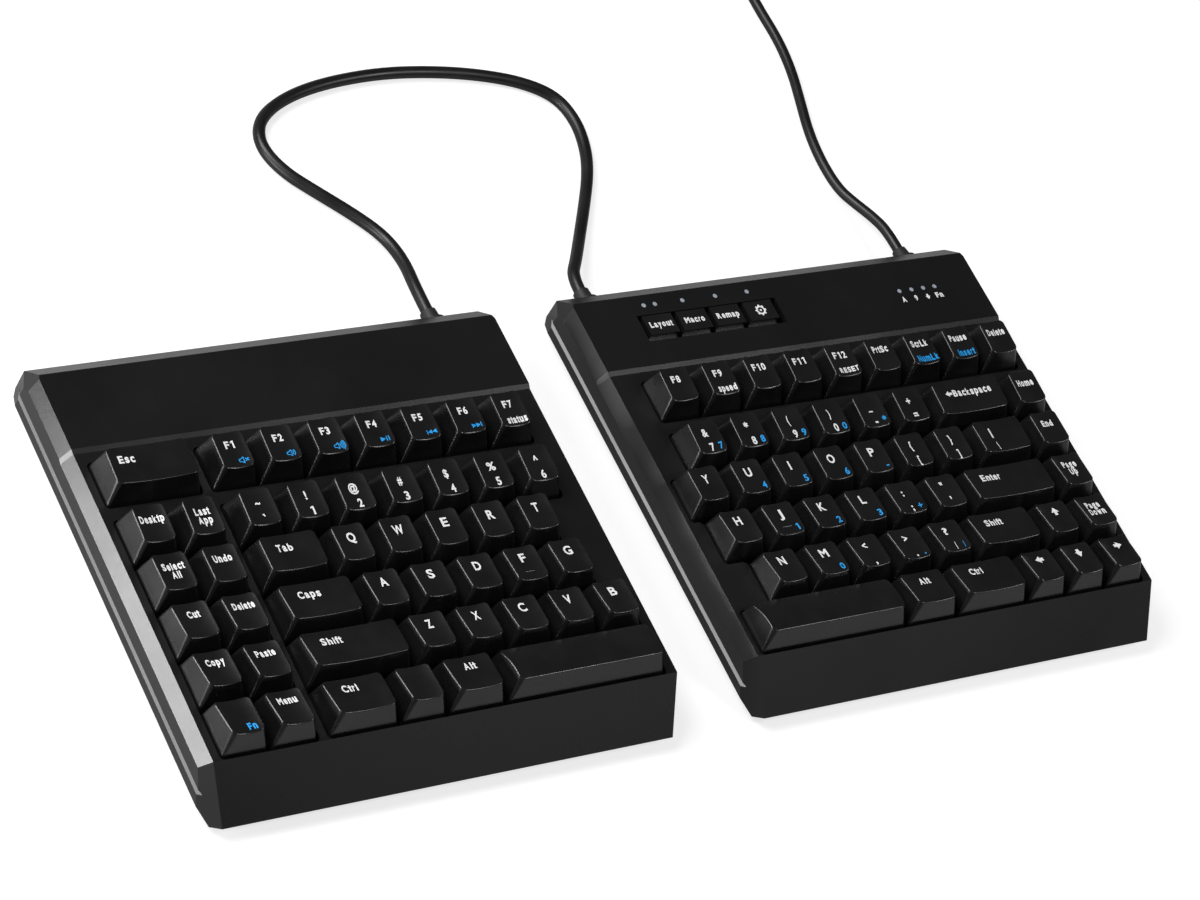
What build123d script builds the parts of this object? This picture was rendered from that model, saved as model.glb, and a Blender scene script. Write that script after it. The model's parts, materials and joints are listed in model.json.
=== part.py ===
from build123d import *
from math import cos, dist, pi, radians, sin, sqrt, tan
import os

# An ergonomic split keyboard: two low modules side by side, joined by one cable.
# X runs along the key rows, Y to the rear, Z up. The desk is z = 0, and the origin
# is under the middle of the two modules.

overrun = 1.0

# Key grid, widths and places in key units of one pitch
key_pitch = 19.05
cap_gap = 1.0
key_travel = 4.0
hot_key_gap = 3.0
row_units = {"function": 1.25, "number": 0, "upper": -1, "home": -2, "lower": -3, "bottom": -4}
typing_rows = ["number", "upper", "home", "lower", "bottom"]

# Keycap
cap_wall = 1.4
cap_roof = 1.4
cap_corner_radius = 0.8
cap_top_corner_radius = 2.4
cap_edge_radius = 0.4
cap_dish_depth = 1.0
wide_cap_dish_depth = 0.7
cap_blank_height = 13.0
side_slope_share = 0.285
front_slope_share = 0.36
rear_slope_share = 0.03
function_cap_height = 10.3
upper_cap_height = 10.2
home_cap_height = 9.95
lower_cap_height = 10.2
bottom_cap_height = 10.4
row_tilt = {"function": 3, "number": 3, "upper": -1, "home": -6, "lower": -9, "bottom": -10}
space_crown_radius = 24.0
space_crown_rise = 0.6
space_crown_setback = 6.0
homing_bar_length = 3.6
homing_bar_radius = 0.35
homing_bar_setback = 3.4
boss_diameter = 5.5
boss_bottom_above_rim = 0.6
cross_length = 4.0
cross_thickness = 1.1
cross_height = 3.6
cross_clearance = 0.05
guide_post_diameter = 5.0
guide_post_drop = 2.0

# Switch
housing_flange = 15.6
housing_flange_thickness = 1.0
housing_body = 13.9
housing_depth = 5.0
housing_upper_height = 6.6
housing_upper_foot = 14.4
housing_upper_top = 11.0
slider_width = 7.0
slider_depth = 5.6
slider_clearance = 0.1
slider_top_above_rim = 0.5
slider_length = 5.5
slider_bottom_room = 0.6
plate_hole_clearance = 0.05

# Stabiliser under a wide key
short_stabiliser_reach = 11.94
long_stabiliser_reach = 19.05
wide_key_units = 2.0
long_key_units = 3.0
guide_width = 7.0
guide_rear = 5.0
guide_front = 5.5
guide_height = 5.6
guide_toe_front = 10.4
guide_toe_height = 2.2
guide_post_clearance = 0.3
stabiliser_wire_diameter = 1.6
stabiliser_wire_forward = 8.6
stabiliser_wire_height = 1.1
stabiliser_wire_clearance = 0.05
stabiliser_wire_end = 1.0

# Case heights
foot_height = 1.5
floor_thickness = 2.0
board_standoff = 2.3
board_thickness = 1.6
plate_thickness = 1.5
parting_below_plate = 1.4
cap_rim_depth = 2.0
top_wall = 2.5
facet_height = 5.0
deck_rise = 0.7
groove_height = 0.5
groove_depth = 1.0
wall_lean = 0.3
ledge_height = 1.0
ledge_inset = 1.1
ledge_overhang = 0.1
under_taper_height = 3.5
under_taper_run = 4.0

# Case plan
hot_key_margin = 2.9
inner_margin = 4.1
nav_key_margin = 3.65
facet_run = 3.1
deck_widening = 0.3
module_gap = 29.0
ramp_run = 16.4
front_taper_run = 4.2
function_row_margin = 4.1
step_run = 1.8
deck_depth = 38.26
rear_bevel = 7.0
well_corner_radius = 2.0
front_corner_setback = 1.7
front_corner_inset = 2.4
rear_corner_top_inset = 0.7
rear_corner_foot_inset = 0.2
rear_corner_side_inset = 0.4
rear_corner_side_setback = 0.9
plan_chamfer_run = 3.0
plan_chamfer_length = 7.0

# Case walls and seats
cover_wall = 3.0
ramp_wall = 2.5
bevel_wall = 2.5
front_corner_wall = 2.0
base_wall = 3.4
base_front_wall = 2.0
front_lip_depth = 12.1
tongue_width = 120.0
tongue_thickness = 2.0
tongue_height = 1.5
tongue_setback = 6.8
plate_side_gap = 0.6
plate_front_gap = 0.3
plate_rear_margin = 7.0
plate_block_length = 12.0
plate_block_width = 2.6
press_rib_thickness = 1.2
press_rib_setback = 0.3
press_rib_length = 12.0
rear_rib_thickness = 1.8
rear_rib_margin = 4.4
rib_spread = 55.0
board_side_gap = 4.0
board_rear_margin = 9.5
board_pad = 8.0
board_pad_spread = 60.0
post_hole_clearance = 0.6

# Screws and feet
screw_spread = 82.0
screw_from_rear = 10.5
screw_post_diameter = 9.0
screw_boss_diameter = 7.0
screw_diameter = 3.0
screw_hole_clearance = 0.15
screw_pilot_clearance = 0.05
screw_head_diameter = 5.5
screw_head_clearance = 0.25
screw_head_height = 1.8
screw_head_depth = 2.2
screw_reach_above_parting = 6.5
foot_diameter = 12.0
foot_recess = 0.8
foot_clearance = 0.15
foot_spread = 78.0
foot_front_inset = 20.0
foot_rear_inset = 27.0

# Program buttons on the right deck
button_width = 13.2
button_pitch = 15.55
button_depth = 8.7
button_strip_from_left = 24.4
button_strip_margin = 2.3
button_from_rear = 16.3
button_slot_front_margin = 2.7
button_slot_rear_margin = 0.3
button_stand = 0.2
button_flange_thickness = 1.2
button_flange_reach = 1.2
button_stem_diameter = 4.0
button_stem_gap = 0.7
tact_switch_width = 6.0
tact_switch_height = 4.0

# Indicator lights on the right deck, places from the module's left top edge and rear wall
lens_diameter = 1.8
lens_clearance = 0.05
lens_flange_diameter = 3.0
lens_flange_thickness = 0.6
led_length = 1.6
led_width = 0.8
led_height = 0.7
program_lens_from_rear = 11.7
program_lens_places = [30.0, 35.1, 47.8, 63.1, 78.1]
lock_lens_from_rear = 20.8
lock_lens_places = [147.1, 153.1, 158.9, 164.6]

# Cables
cable_height = 9.0
bridge_diameter = 4.8
usb_diameter = 4.2
inner_exit_from_centre = 76.9
outer_exit_from_centre = 76.4
usb_exit_from_centre = 76.8
gland_diameter = 7.0
gland_clearance = 0.1
gland_flange_diameter = 9.4
gland_flange_thickness = 1.5
gland_collar_thickness = 2.0
gland_tail_length = 4.5
gland_tail_margin = 0.7
arc_run_share = 0.45

# The unseen length of the USB cable, wound up flat, and its plug
coil_mean_diameter = 47.0
coil_turn_gap = 0.6
coil_layer_gap = 0.6
coil_half_turns_in = 9
coil_half_turns_out = 10
coil_centre_y = 278.0
coil_start_x = 196.0
coil_tail_length = 30.0
coil_reversal_inset = 0.9
plug_body_width = 16.0
plug_body_height = 8.0
plug_body_length = 26.0
plug_body_radius = 2.0
plug_shell_width = 12.0
plug_shell_height = 4.5
plug_shell_length = 18.8
plug_shell_wall = 0.3
plug_tongue_height = 1.8
plug_tongue_gap = 0.3

# Heights worked out from the desk up
base_bottom_z = foot_height
floor_z = base_bottom_z + floor_thickness
board_bottom_z = floor_z + board_standoff
board_top_z = board_bottom_z + board_thickness
plate_top_z = board_top_z + housing_depth
plate_bottom_z = plate_top_z - plate_thickness
rim_z = plate_top_z + housing_upper_height
key_top_z = rim_z + cap_rim_depth
deck_top_z = key_top_z + deck_rise
ceiling_z = key_top_z - top_wall
facet_foot_z = key_top_z - facet_height
parting_z = plate_bottom_z - parting_below_plate
groove_top_z = parting_z + groove_height
ledge_low_z = parting_z - ledge_height
foot_line_z = base_bottom_z + under_taper_height

# Widths worked out from the key block, in a module's own frame about its middle
hot_block = 2 * key_pitch + hot_key_gap
left_block_units = 7.25
right_block_units = 16
top_half = (hot_key_margin + hot_block + left_block_units * key_pitch + inner_margin) / 2
deck_half = top_half + deck_widening
wall_half = top_half + facet_run
foot_half = wall_half + ledge_overhang
cover_inner_half = wall_half - cover_wall
base_inner_half = foot_half - base_wall
module_x = module_gap / 2 + foot_half
key_origin_x = {
    "left": hot_key_margin + hot_block - top_half,
    "right": top_half - nav_key_margin - right_block_units * key_pitch,
}
side_x = {"left": -module_x, "right": module_x}

# Depths worked out from the front edge to the rear wall
block_depth = 4.5 * key_pitch
function_row_depth = 1.75 * key_pitch
case_depth = ramp_run + block_depth + function_row_depth + function_row_margin + step_run + deck_depth
front_y = -case_depth / 2
rear_y = case_depth / 2
block_front_y = front_y + ramp_run
number_row_y = block_front_y + block_depth
step_front_y = number_row_y + function_row_depth + function_row_margin
step_rear_y = step_front_y + step_run
bevel_y = rear_y - rear_bevel
bevel_foot_z = deck_top_z - rear_bevel
ramp_rise = key_top_z - foot_line_z
ramp_shift = ramp_wall * sqrt(ramp_run**2 + ramp_rise**2) / ramp_rise
front_lip_y = front_y + front_lip_depth
plate_front_y = front_lip_y + base_front_wall + plate_front_gap
plate_rear_y = step_front_y + plate_rear_margin
board_rear_y = rear_y - board_rear_margin
screw_y = rear_y - screw_from_rear
screw_places = [(-screw_spread, screw_y), (0, screw_y), (screw_spread, screw_y)]
cap_heights = {
    "function": function_cap_height,
    "number": function_cap_height,
    "upper": upper_cap_height,
    "home": home_cap_height,
    "lower": lower_cap_height,
    "bottom": bottom_cap_height,
}


def run_of(row, first, count, width=1.0):
    """Keys of one row side by side, from the first key's middle."""
    return [(row, first + i, width, "plain") for i in range(count)]


# Keys that move together, as row, middle, width and shape
left_keys = {
    "esc_key": [("function", -1.0, 2.0, "plain")],
    "left_function_keys": run_of("function", 0.5, 7),
    "outer_hot_keys": [(row, -1.5, 1.0, "plain") for row in typing_rows],
    "inner_hot_keys": [(row, -0.5, 1.0, "plain") for row in typing_rows],
    "left_number_keys": run_of("number", 0.5, 7),
    "tab_key": [("upper", 0.75, 1.5, "plain")],
    "left_upper_letter_keys": run_of("upper", 2.0, 5),
    "caps_lock_key": [("home", 0.875, 1.75, "plain")],
    "left_home_letter_keys": [
        *run_of("home", 2.25, 3),
        ("home", 5.25, 1.0, "homing"),
        *run_of("home", 6.25, 1),
    ],
    "left_shift_key": [("lower", 1.125, 2.25, "plain")],
    "left_lower_letter_keys": run_of("lower", 2.75, 5),
    "left_control_key": [("bottom", 0.75, 1.5, "plain")],
    "super_key": [("bottom", 2.0, 1.0, "plain")],
    "left_alt_key": [("bottom", 3.125, 1.25, "plain")],
    "left_space_key": [("bottom", 5.5, 3.5, "space")],
}
right_keys = {
    "right_function_keys": run_of("function", 7.5, 5),
    "system_keys": run_of("function", 12.5, 4),
    "right_number_keys": run_of("number", 7.5, 6),
    "backspace_key": [("number", 14.0, 2.0, "plain")],
    "right_upper_letter_keys": run_of("upper", 7.0, 7),
    "backslash_key": [("upper", 14.25, 1.5, "plain")],
    "right_home_letter_keys": [
        *run_of("home", 7.25, 1),
        ("home", 8.25, 1.0, "homing"),
        *run_of("home", 9.25, 4),
    ],
    "enter_key": [("home", 13.875, 2.25, "plain")],
    "right_lower_letter_keys": run_of("lower", 7.75, 5),
    "right_shift_key": [("lower", 13.125, 1.75, "plain")],
    "up_arrow_key": [("lower", 14.5, 1.0, "plain")],
    "navigation_keys": [(row, 15.5, 1.0, "plain") for row in ["number", "upper", "home", "lower"]],
    "right_space_key": [("bottom", 8.25, 3.5, "space")],
    "right_alt_key": [("bottom", 10.625, 1.25, "plain")],
    "right_control_key": [("bottom", 12.125, 1.75, "plain")],
    "lower_arrow_keys": run_of("bottom", 13.5, 3),
}
keys_of_side = {"left": left_keys, "right": right_keys}

# Wells in the covers, as row, first and last edge in key units
left_wells = [
    [("function", -2.0, 0.0)],
    [("function", 0.0, 7.0)],
    [(row, -2.0, 0.0) for row in typing_rows],
    [
        ("number", 0.0, 7.0),
        ("upper", 0.0, 6.5),
        ("home", 0.0, 6.75),
        ("lower", 0.0, 7.25),
        ("bottom", 0.0, 7.25),
    ],
]
right_wells = [
    [("function", 7.0, 16.0)],
    [
        ("number", 7.0, 16.0),
        ("upper", 6.5, 16.0),
        ("home", 6.75, 16.0),
        ("lower", 7.25, 16.0),
        ("bottom", 6.5, 16.0),
    ],
]
wells_of_side = {"left": left_wells, "right": right_wells}


def key_x(side, units):
    """Place along a row; the columns left of the main block stand off by their gap."""
    gap = hot_key_gap if units < 0 else 0
    return key_origin_x[side] + units * key_pitch - gap


def key_y(row):
    return number_row_y + row_units[row] * key_pitch


def key_places(side):
    """Every key of a module, as row, middle, width and shape."""
    return [key for group in keys_of_side[side].values() for key in group]


def cross_section_plane(y):
    """Upright plane across a module that faces the front, its local Y up."""
    return Plane(origin=(0, y, 0), x_dir=(1, 0, 0), z_dir=(0, -1, 0))


def side_plane():
    """Upright plane along a module, its local X to the rear and its local Y up."""
    return Plane(origin=(0, 0, 0), x_dir=(0, 1, 0), z_dir=(1, 0, 0))


# Case blank

def cross_section(half, top_z, facet_z):
    """Outline across a module: top, facet, wall, groove, ledge, lower wall and tapered underside."""
    leaned = wall_half - wall_lean
    right = [
        (half, top_z),
        (wall_half, facet_z),
        (leaned, groove_top_z),
        (leaned - groove_depth, groove_top_z),
        (leaned - groove_depth, parting_z),
        (wall_half - ledge_inset, parting_z),
        (foot_half, ledge_low_z),
        (foot_half, foot_line_z),
        (foot_half - under_taper_run, base_bottom_z),
    ]
    left = [(-x, z) for x, z in reversed(right)]
    return right + left


def corner_plane(points, side, inset):
    """Plane through three points of a corner facet, facing outward, set in by a wall."""
    a, b, c = [Vector(*point) for point in points]
    normal = (b - a).cross(c - a).normalized()
    if normal.X * side < 0:
        normal = -normal
    return Plane(origin=a - normal * inset, z_dir=normal)


def front_corner(side, inset=0):
    points = [
        (side * top_half, block_front_y, key_top_z),
        (side * wall_half, block_front_y + front_corner_setback, facet_foot_z),
        (side * (top_half - front_corner_inset), front_y, foot_line_z),
    ]
    return corner_plane(points, side, inset)


def rear_corner(side):
    points = [
        (side * (deck_half - rear_corner_top_inset), bevel_y, deck_top_z),
        (side * (deck_half - rear_corner_foot_inset), rear_y, bevel_foot_z),
        (side * (wall_half - rear_corner_side_inset), bevel_y - rear_corner_side_setback, facet_foot_z),
    ]
    return corner_plane(points, side, 0)


def plan_chamfer(side):
    points = [
        (side * wall_half, rear_y - plan_chamfer_length, floor_z),
        (side * (wall_half - plan_chamfer_run), rear_y, floor_z),
        (side * (wall_half - plan_chamfer_run), rear_y, deck_top_z),
    ]
    return corner_plane(points, side, 0)


def case_blank():
    """The outer form of one module, solid."""
    slope = ramp_run / ramp_rise
    with BuildPart() as blank:
        with BuildSketch(cross_section_plane(front_y)):
            with BuildLine():
                Polyline(*cross_section(top_half, key_top_z, facet_foot_z), close=True)
            make_face()
        extrude(amount=front_y - step_front_y)
        with BuildSketch(cross_section_plane(step_front_y)):
            with BuildLine():
                Polyline(*cross_section(top_half, key_top_z, facet_foot_z), close=True)
            make_face()
        with BuildSketch(cross_section_plane(step_rear_y)):
            with BuildLine():
                Polyline(*cross_section(deck_half, deck_top_z, facet_foot_z + deck_rise), close=True)
            make_face()
        loft(ruled=True)
        with BuildSketch(cross_section_plane(step_rear_y)):
            with BuildLine():
                Polyline(*cross_section(deck_half, deck_top_z, facet_foot_z + deck_rise), close=True)
            make_face()
        extrude(amount=step_rear_y - rear_y)
        with BuildSketch(side_plane()):
            with BuildLine():
                Polyline(
                    (front_y, foot_line_z),
                    (block_front_y + 2 * overrun * slope, key_top_z + 2 * overrun),
                    (bevel_y - 2 * overrun, deck_top_z + 2 * overrun),
                    (rear_y, bevel_foot_z),
                    (rear_y, groove_top_z),
                    (rear_y - groove_depth, groove_top_z),
                    (rear_y - groove_depth, parting_z),
                    (rear_y, parting_z),
                    (rear_y, foot_line_z),
                    (rear_y - under_taper_run, base_bottom_z),
                    (front_y + front_taper_run, base_bottom_z),
                    close=True,
                )
            make_face()
        extrude(amount=foot_half + overrun, both=True, mode=Mode.INTERSECT)
        for side in (-1, 1):
            split(bisect_by=front_corner(side), keep=Keep.BOTTOM)
            split(bisect_by=rear_corner(side), keep=Keep.BOTTOM)
            split(bisect_by=plan_chamfer(side), keep=Keep.BOTTOM)
    return blank.part


def below_parting():
    """Everything below the joint of cover and base, which steps down behind the front ramp."""
    with BuildPart() as lower:
        with BuildSketch(side_plane()):
            with BuildLine():
                Polyline(
                    (front_y - overrun, foot_line_z),
                    (front_lip_y, foot_line_z),
                    (front_lip_y, parting_z),
                    (rear_y + overrun, parting_z),
                    (rear_y + overrun, -overrun),
                    (front_y - overrun, -overrun),
                    close=True,
                )
            make_face()
        extrude(amount=foot_half + overrun, both=True)
    return lower.part


def cover_cavity():
    """The room under the cover, with the ramp's, roof's and bevel's inner faces."""
    ceiling_front_y = block_front_y - ramp_run * top_wall / ramp_rise + ramp_shift
    bevel_line = bevel_y + deck_top_z - bevel_wall * sqrt(2)
    inner_rear_y = rear_y - cover_wall
    with BuildPart() as cavity:
        with BuildSketch(side_plane()):
            with BuildLine():
                Polyline(
                    (ceiling_front_y, ceiling_z),
                    (bevel_line - ceiling_z, ceiling_z),
                    (inner_rear_y, bevel_line - inner_rear_y),
                    (inner_rear_y, -overrun),
                    (front_y + ramp_shift, -overrun),
                    (front_y + ramp_shift, foot_line_z),
                    close=True,
                )
            make_face()
        extrude(amount=cover_inner_half, both=True)
        for side in (-1, 1):
            split(bisect_by=front_corner(side, front_corner_wall), keep=Keep.BOTTOM)
    return cavity.part


# Cover

def cable_exits(side):
    """Places of the cable holes along a module's rear wall, from its middle."""
    if side == "left":
        return [inner_exit_from_centre]
    return [usb_exit_from_centre, -outer_exit_from_centre]


def button_x(index):
    return button_strip_from_left - top_half + button_strip_margin + button_width / 2 + index * button_pitch


def lens_places():
    """Indicator lights of the right deck."""
    program = [(x - top_half, rear_y - program_lens_from_rear) for x in program_lens_places]
    lock = [(x - top_half, rear_y - lock_lens_from_rear) for x in lock_lens_places]
    return program + lock


def rear_wall_plane():
    return cross_section_plane(rear_y + overrun)


def cover_shape(side, blank, lower):
    boss_bottom_z = parting_z
    rib_y = plate_rear_y - rear_rib_margin
    front_rib_y = plate_front_y + press_rib_setback + press_rib_thickness / 2
    with BuildPart() as cover:
        add(blank)
        add(cover_cavity(), mode=Mode.SUBTRACT)
        # Bosses for the screws, and ribs that hold the switch plate down
        with BuildSketch(Plane.XY.offset(boss_bottom_z)):
            with Locations(*screw_places):
                Circle(screw_boss_diameter / 2)
        extrude(amount=ceiling_z + top_wall / 2 - boss_bottom_z)
        with BuildSketch(Plane.XY.offset(plate_top_z)):
            with Locations((-rib_spread, rib_y), (0, rib_y), (rib_spread, rib_y)):
                Rectangle(press_rib_length, rear_rib_thickness)
        extrude(amount=ceiling_z + top_wall / 2 - plate_top_z)
        with BuildSketch(Plane.XY.offset(plate_top_z)):
            with Locations((-rib_spread, front_rib_y), (0, front_rib_y), (rib_spread, front_rib_y)):
                Rectangle(press_rib_length, press_rib_thickness)
        extrude(amount=ceiling_z - ramp_wall - plate_top_z)
        add(lower, mode=Mode.SUBTRACT)
        # Key wells through the roof
        for well in wells_of_side[side]:
            with BuildSketch(Plane.XY.offset(ceiling_z - overrun)) as well_sketch:
                for row, first, last in well:
                    left = key_x(side, first)
                    right = key_x(side, last) if last > 0 else key_origin_x[side] - hot_key_gap
                    with Locations(((left + right) / 2, key_y(row))):
                        Rectangle(right - left, key_pitch)
                fillet(well_sketch.vertices(), well_corner_radius)
            extrude(amount=top_wall + 2 * overrun, mode=Mode.SUBTRACT)
        # Pilot holes for the screws
        with BuildSketch(Plane.XY.offset(boss_bottom_z)):
            with Locations(*screw_places):
                Circle(screw_diameter / 2 + screw_pilot_clearance)
        extrude(amount=screw_reach_above_parting + screw_pilot_clearance, mode=Mode.SUBTRACT)
        with BuildSketch(rear_wall_plane()):
            with Locations(*[(x, cable_height) for x in cable_exits(side)]):
                Circle(gland_diameter / 2 + gland_clearance)
        extrude(amount=cover_wall + 2 * overrun, dir=(0, -1, 0), mode=Mode.SUBTRACT)
        if side == "right":
            slot_width = 3 * button_pitch + button_width + 2 * button_strip_margin
            slot_depth = button_slot_front_margin + button_depth + button_slot_rear_margin
            slot_x = (button_x(0) + button_x(3)) / 2
            slot_y = rear_y - button_from_rear + button_slot_rear_margin - slot_depth / 2
            with BuildSketch(Plane.XY.offset(ceiling_z - overrun)):
                with Locations((slot_x, slot_y)):
                    Rectangle(slot_width, slot_depth)
            extrude(amount=top_wall + 2 * overrun + deck_rise, mode=Mode.SUBTRACT)
            with BuildSketch(Plane.XY.offset(ceiling_z - overrun)):
                with Locations(*lens_places()):
                    Circle(lens_diameter / 2 + lens_clearance)
            extrude(amount=top_wall + 2 * overrun + deck_rise, mode=Mode.SUBTRACT)
    return cover.part


# Base

def foot_places():
    front = front_y + foot_front_inset
    rear = rear_y - foot_rear_inset
    return [(x, y) for x in (-foot_spread, foot_spread) for y in (front, rear)]


def plate_block_places():
    """Blocks on the floor that carry the switch plate's side edges and its rear edge."""
    side = base_inner_half - plate_block_width / 2
    low = plate_front_y + plate_block_length
    high = plate_rear_y - plate_block_length
    return [(x, y) for x in (-side, side) for y in (low, (low + high) / 2, high)]


def board_pad_places():
    low = plate_front_y + 2 * board_pad
    high = board_rear_y - board_pad
    return [(x, y) for x in (-board_pad_spread, 0, board_pad_spread) for y in (low, high)]


def base_shape(side, blank, lower):
    cavity_front_y = front_lip_y + base_front_wall
    cavity_rear_y = rear_y - base_wall
    with BuildPart() as base:
        add(blank)
        add(lower, mode=Mode.INTERSECT)
        with BuildSketch(Plane.XY.offset(floor_z)):
            with Locations((0, (cavity_front_y + cavity_rear_y) / 2)):
                Rectangle(2 * base_inner_half, cavity_rear_y - cavity_front_y)
        extrude(amount=parting_z - floor_z + overrun, mode=Mode.SUBTRACT)
        # Tongue behind the cover's front edge
        with BuildSketch(Plane.XY.offset(foot_line_z)):
            with Locations((0, front_y + tongue_setback)):
                Rectangle(tongue_width, tongue_thickness)
        extrude(amount=tongue_height)
        with BuildSketch(Plane.XY.offset(floor_z)):
            with Locations(*plate_block_places()):
                Rectangle(plate_block_width, plate_block_length)
        extrude(amount=plate_bottom_z - floor_z)
        with BuildSketch(Plane.XY.offset(floor_z)):
            with Locations(*board_pad_places()):
                Rectangle(board_pad, board_pad)
        extrude(amount=board_standoff)
        with BuildSketch(Plane.XY.offset(floor_z)):
            with Locations(*screw_places):
                Circle(screw_post_diameter / 2)
        extrude(amount=parting_z - floor_z)
        with BuildSketch(Plane.XY.offset(base_bottom_z - overrun)):
            with Locations(*screw_places):
                Circle(screw_diameter / 2 + screw_hole_clearance)
        extrude(amount=parting_z - base_bottom_z + 2 * overrun, mode=Mode.SUBTRACT)
        with BuildSketch(Plane.XY.offset(base_bottom_z)):
            with Locations(*screw_places):
                Circle(screw_head_diameter / 2 + screw_head_clearance)
        extrude(amount=screw_head_depth, mode=Mode.SUBTRACT)
        with BuildSketch(Plane.XY.offset(base_bottom_z)):
            with Locations(*foot_places()):
                Circle(foot_diameter / 2 + foot_clearance)
        extrude(amount=foot_recess, mode=Mode.SUBTRACT)
        with BuildSketch(rear_wall_plane()):
            with Locations(*[(x, cable_height) for x in cable_exits(side)]):
                Circle(gland_diameter / 2 + gland_clearance)
        extrude(amount=base_wall + 2 * overrun, dir=(0, -1, 0), mode=Mode.SUBTRACT)
    return base.part


# Inside a module

def plate_shape(side):
    half = cover_inner_half - plate_side_gap
    with BuildPart() as plate:
        with BuildSketch(Plane.XY.offset(plate_bottom_z)):
            with Locations((0, (plate_front_y + plate_rear_y) / 2)):
                Rectangle(2 * half, plate_rear_y - plate_front_y)
            with Locations(*[(key_x(side, key[1]), key_y(key[0])) for key in key_places(side)]):
                Rectangle(
                    housing_body + 2 * plate_hole_clearance,
                    housing_body + 2 * plate_hole_clearance,
                    mode=Mode.SUBTRACT,
                )
        extrude(amount=plate_thickness)
    return plate.part


def board_shape(side):
    half = base_inner_half - board_side_gap
    with BuildPart() as board:
        with BuildSketch(Plane.XY.offset(board_bottom_z)):
            with Locations((0, (plate_front_y + board_rear_y) / 2)):
                Rectangle(2 * half, board_rear_y - plate_front_y)
            with Locations(*screw_places):
                Circle(screw_post_diameter / 2 + post_hole_clearance, mode=Mode.SUBTRACT)
        extrude(amount=board_thickness)
        if side == "right":
            # Push switches under the program buttons and the lights under their lenses
            button_y = rear_y - button_from_rear - button_depth / 2
            with BuildSketch(Plane.XY.offset(board_top_z)):
                with Locations(*[(button_x(i), button_y) for i in range(4)]):
                    Rectangle(tact_switch_width, tact_switch_width)
            extrude(amount=tact_switch_height)
            with BuildSketch(Plane.XY.offset(board_top_z)):
                with Locations(*lens_places()):
                    Rectangle(led_width, led_length)
            extrude(amount=led_height)
    return board.part


def housing_shape():
    """One switch housing about its own axis, its flange on the switch plate."""
    flange_top_z = plate_top_z + housing_flange_thickness
    with BuildPart() as housing:
        with BuildSketch(Plane.XY.offset(board_top_z)):
            Rectangle(housing_body, housing_body)
        extrude(amount=housing_depth)
        with BuildSketch(Plane.XY.offset(plate_top_z)):
            Rectangle(housing_flange, housing_flange)
        extrude(amount=housing_flange_thickness)
        with BuildSketch(Plane.XY.offset(flange_top_z)):
            Rectangle(housing_upper_foot, housing_upper_foot)
        with BuildSketch(Plane.XY.offset(rim_z)):
            Rectangle(housing_upper_top, housing_upper_top)
        loft(ruled=True)
        bore_bottom_z = rim_z + slider_top_above_rim - slider_length - key_travel - slider_bottom_room
        with BuildSketch(Plane.XY.offset(bore_bottom_z)):
            Rectangle(slider_width + 2 * slider_clearance, slider_depth + 2 * slider_clearance)
        extrude(amount=rim_z - bore_bottom_z + overrun, mode=Mode.SUBTRACT)
    return housing.part


def stabiliser_shape(reach):
    """Two guides and the wire between them, about the middle of a wide key."""
    with BuildPart() as stabiliser:
        with BuildSketch(Plane.XY.offset(plate_top_z)):
            with Locations((-reach, (guide_rear - guide_front) / 2), (reach, (guide_rear - guide_front) / 2)):
                Rectangle(guide_width, guide_rear + guide_front)
        extrude(amount=guide_height)
        with BuildSketch(Plane.XY.offset(plate_top_z)):
            toe_y = -(guide_front + guide_toe_front) / 2
            with Locations((-reach, toe_y), (reach, toe_y)):
                Rectangle(guide_width, guide_toe_front - guide_front)
        extrude(amount=guide_toe_height)
        with BuildSketch(Plane.XY.offset(plate_top_z)):
            with Locations((-reach, 0), (reach, 0)):
                Circle(guide_post_diameter / 2 + guide_post_clearance)
        extrude(amount=guide_height + overrun, mode=Mode.SUBTRACT)
        wire_end = reach + guide_width / 2 + stabiliser_wire_end
        wire_plane = Plane(
            origin=(0, -stabiliser_wire_forward, plate_top_z + stabiliser_wire_height),
            x_dir=(0, 1, 0),
            z_dir=(1, 0, 0),
        )
        with BuildSketch(wire_plane):
            Circle(stabiliser_wire_diameter / 2 + stabiliser_wire_clearance)
        extrude(amount=wire_end + overrun, both=True, mode=Mode.SUBTRACT)
        with BuildSketch(wire_plane):
            Circle(stabiliser_wire_diameter / 2)
        extrude(amount=wire_end, both=True)
    return stabiliser.part


def stabiliser_reach(width):
    return long_stabiliser_reach if width > long_key_units else short_stabiliser_reach


def screw_shape():
    head_top_z = base_bottom_z + screw_head_depth
    with BuildPart() as screw:
        with BuildSketch(Plane.XY.offset(head_top_z - screw_head_height)):
            Circle(screw_head_diameter / 2)
        extrude(amount=screw_head_height)
        with BuildSketch(Plane.XY.offset(head_top_z)):
            Circle(screw_diameter / 2)
        extrude(amount=parting_z + screw_reach_above_parting - head_top_z)
    return screw.part


def foot_shape():
    with BuildPart() as foot:
        with BuildSketch(Plane.XY):
            Circle(foot_diameter / 2)
        extrude(amount=foot_height + foot_recess)
    return foot.part


# Keycap and slider

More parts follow.
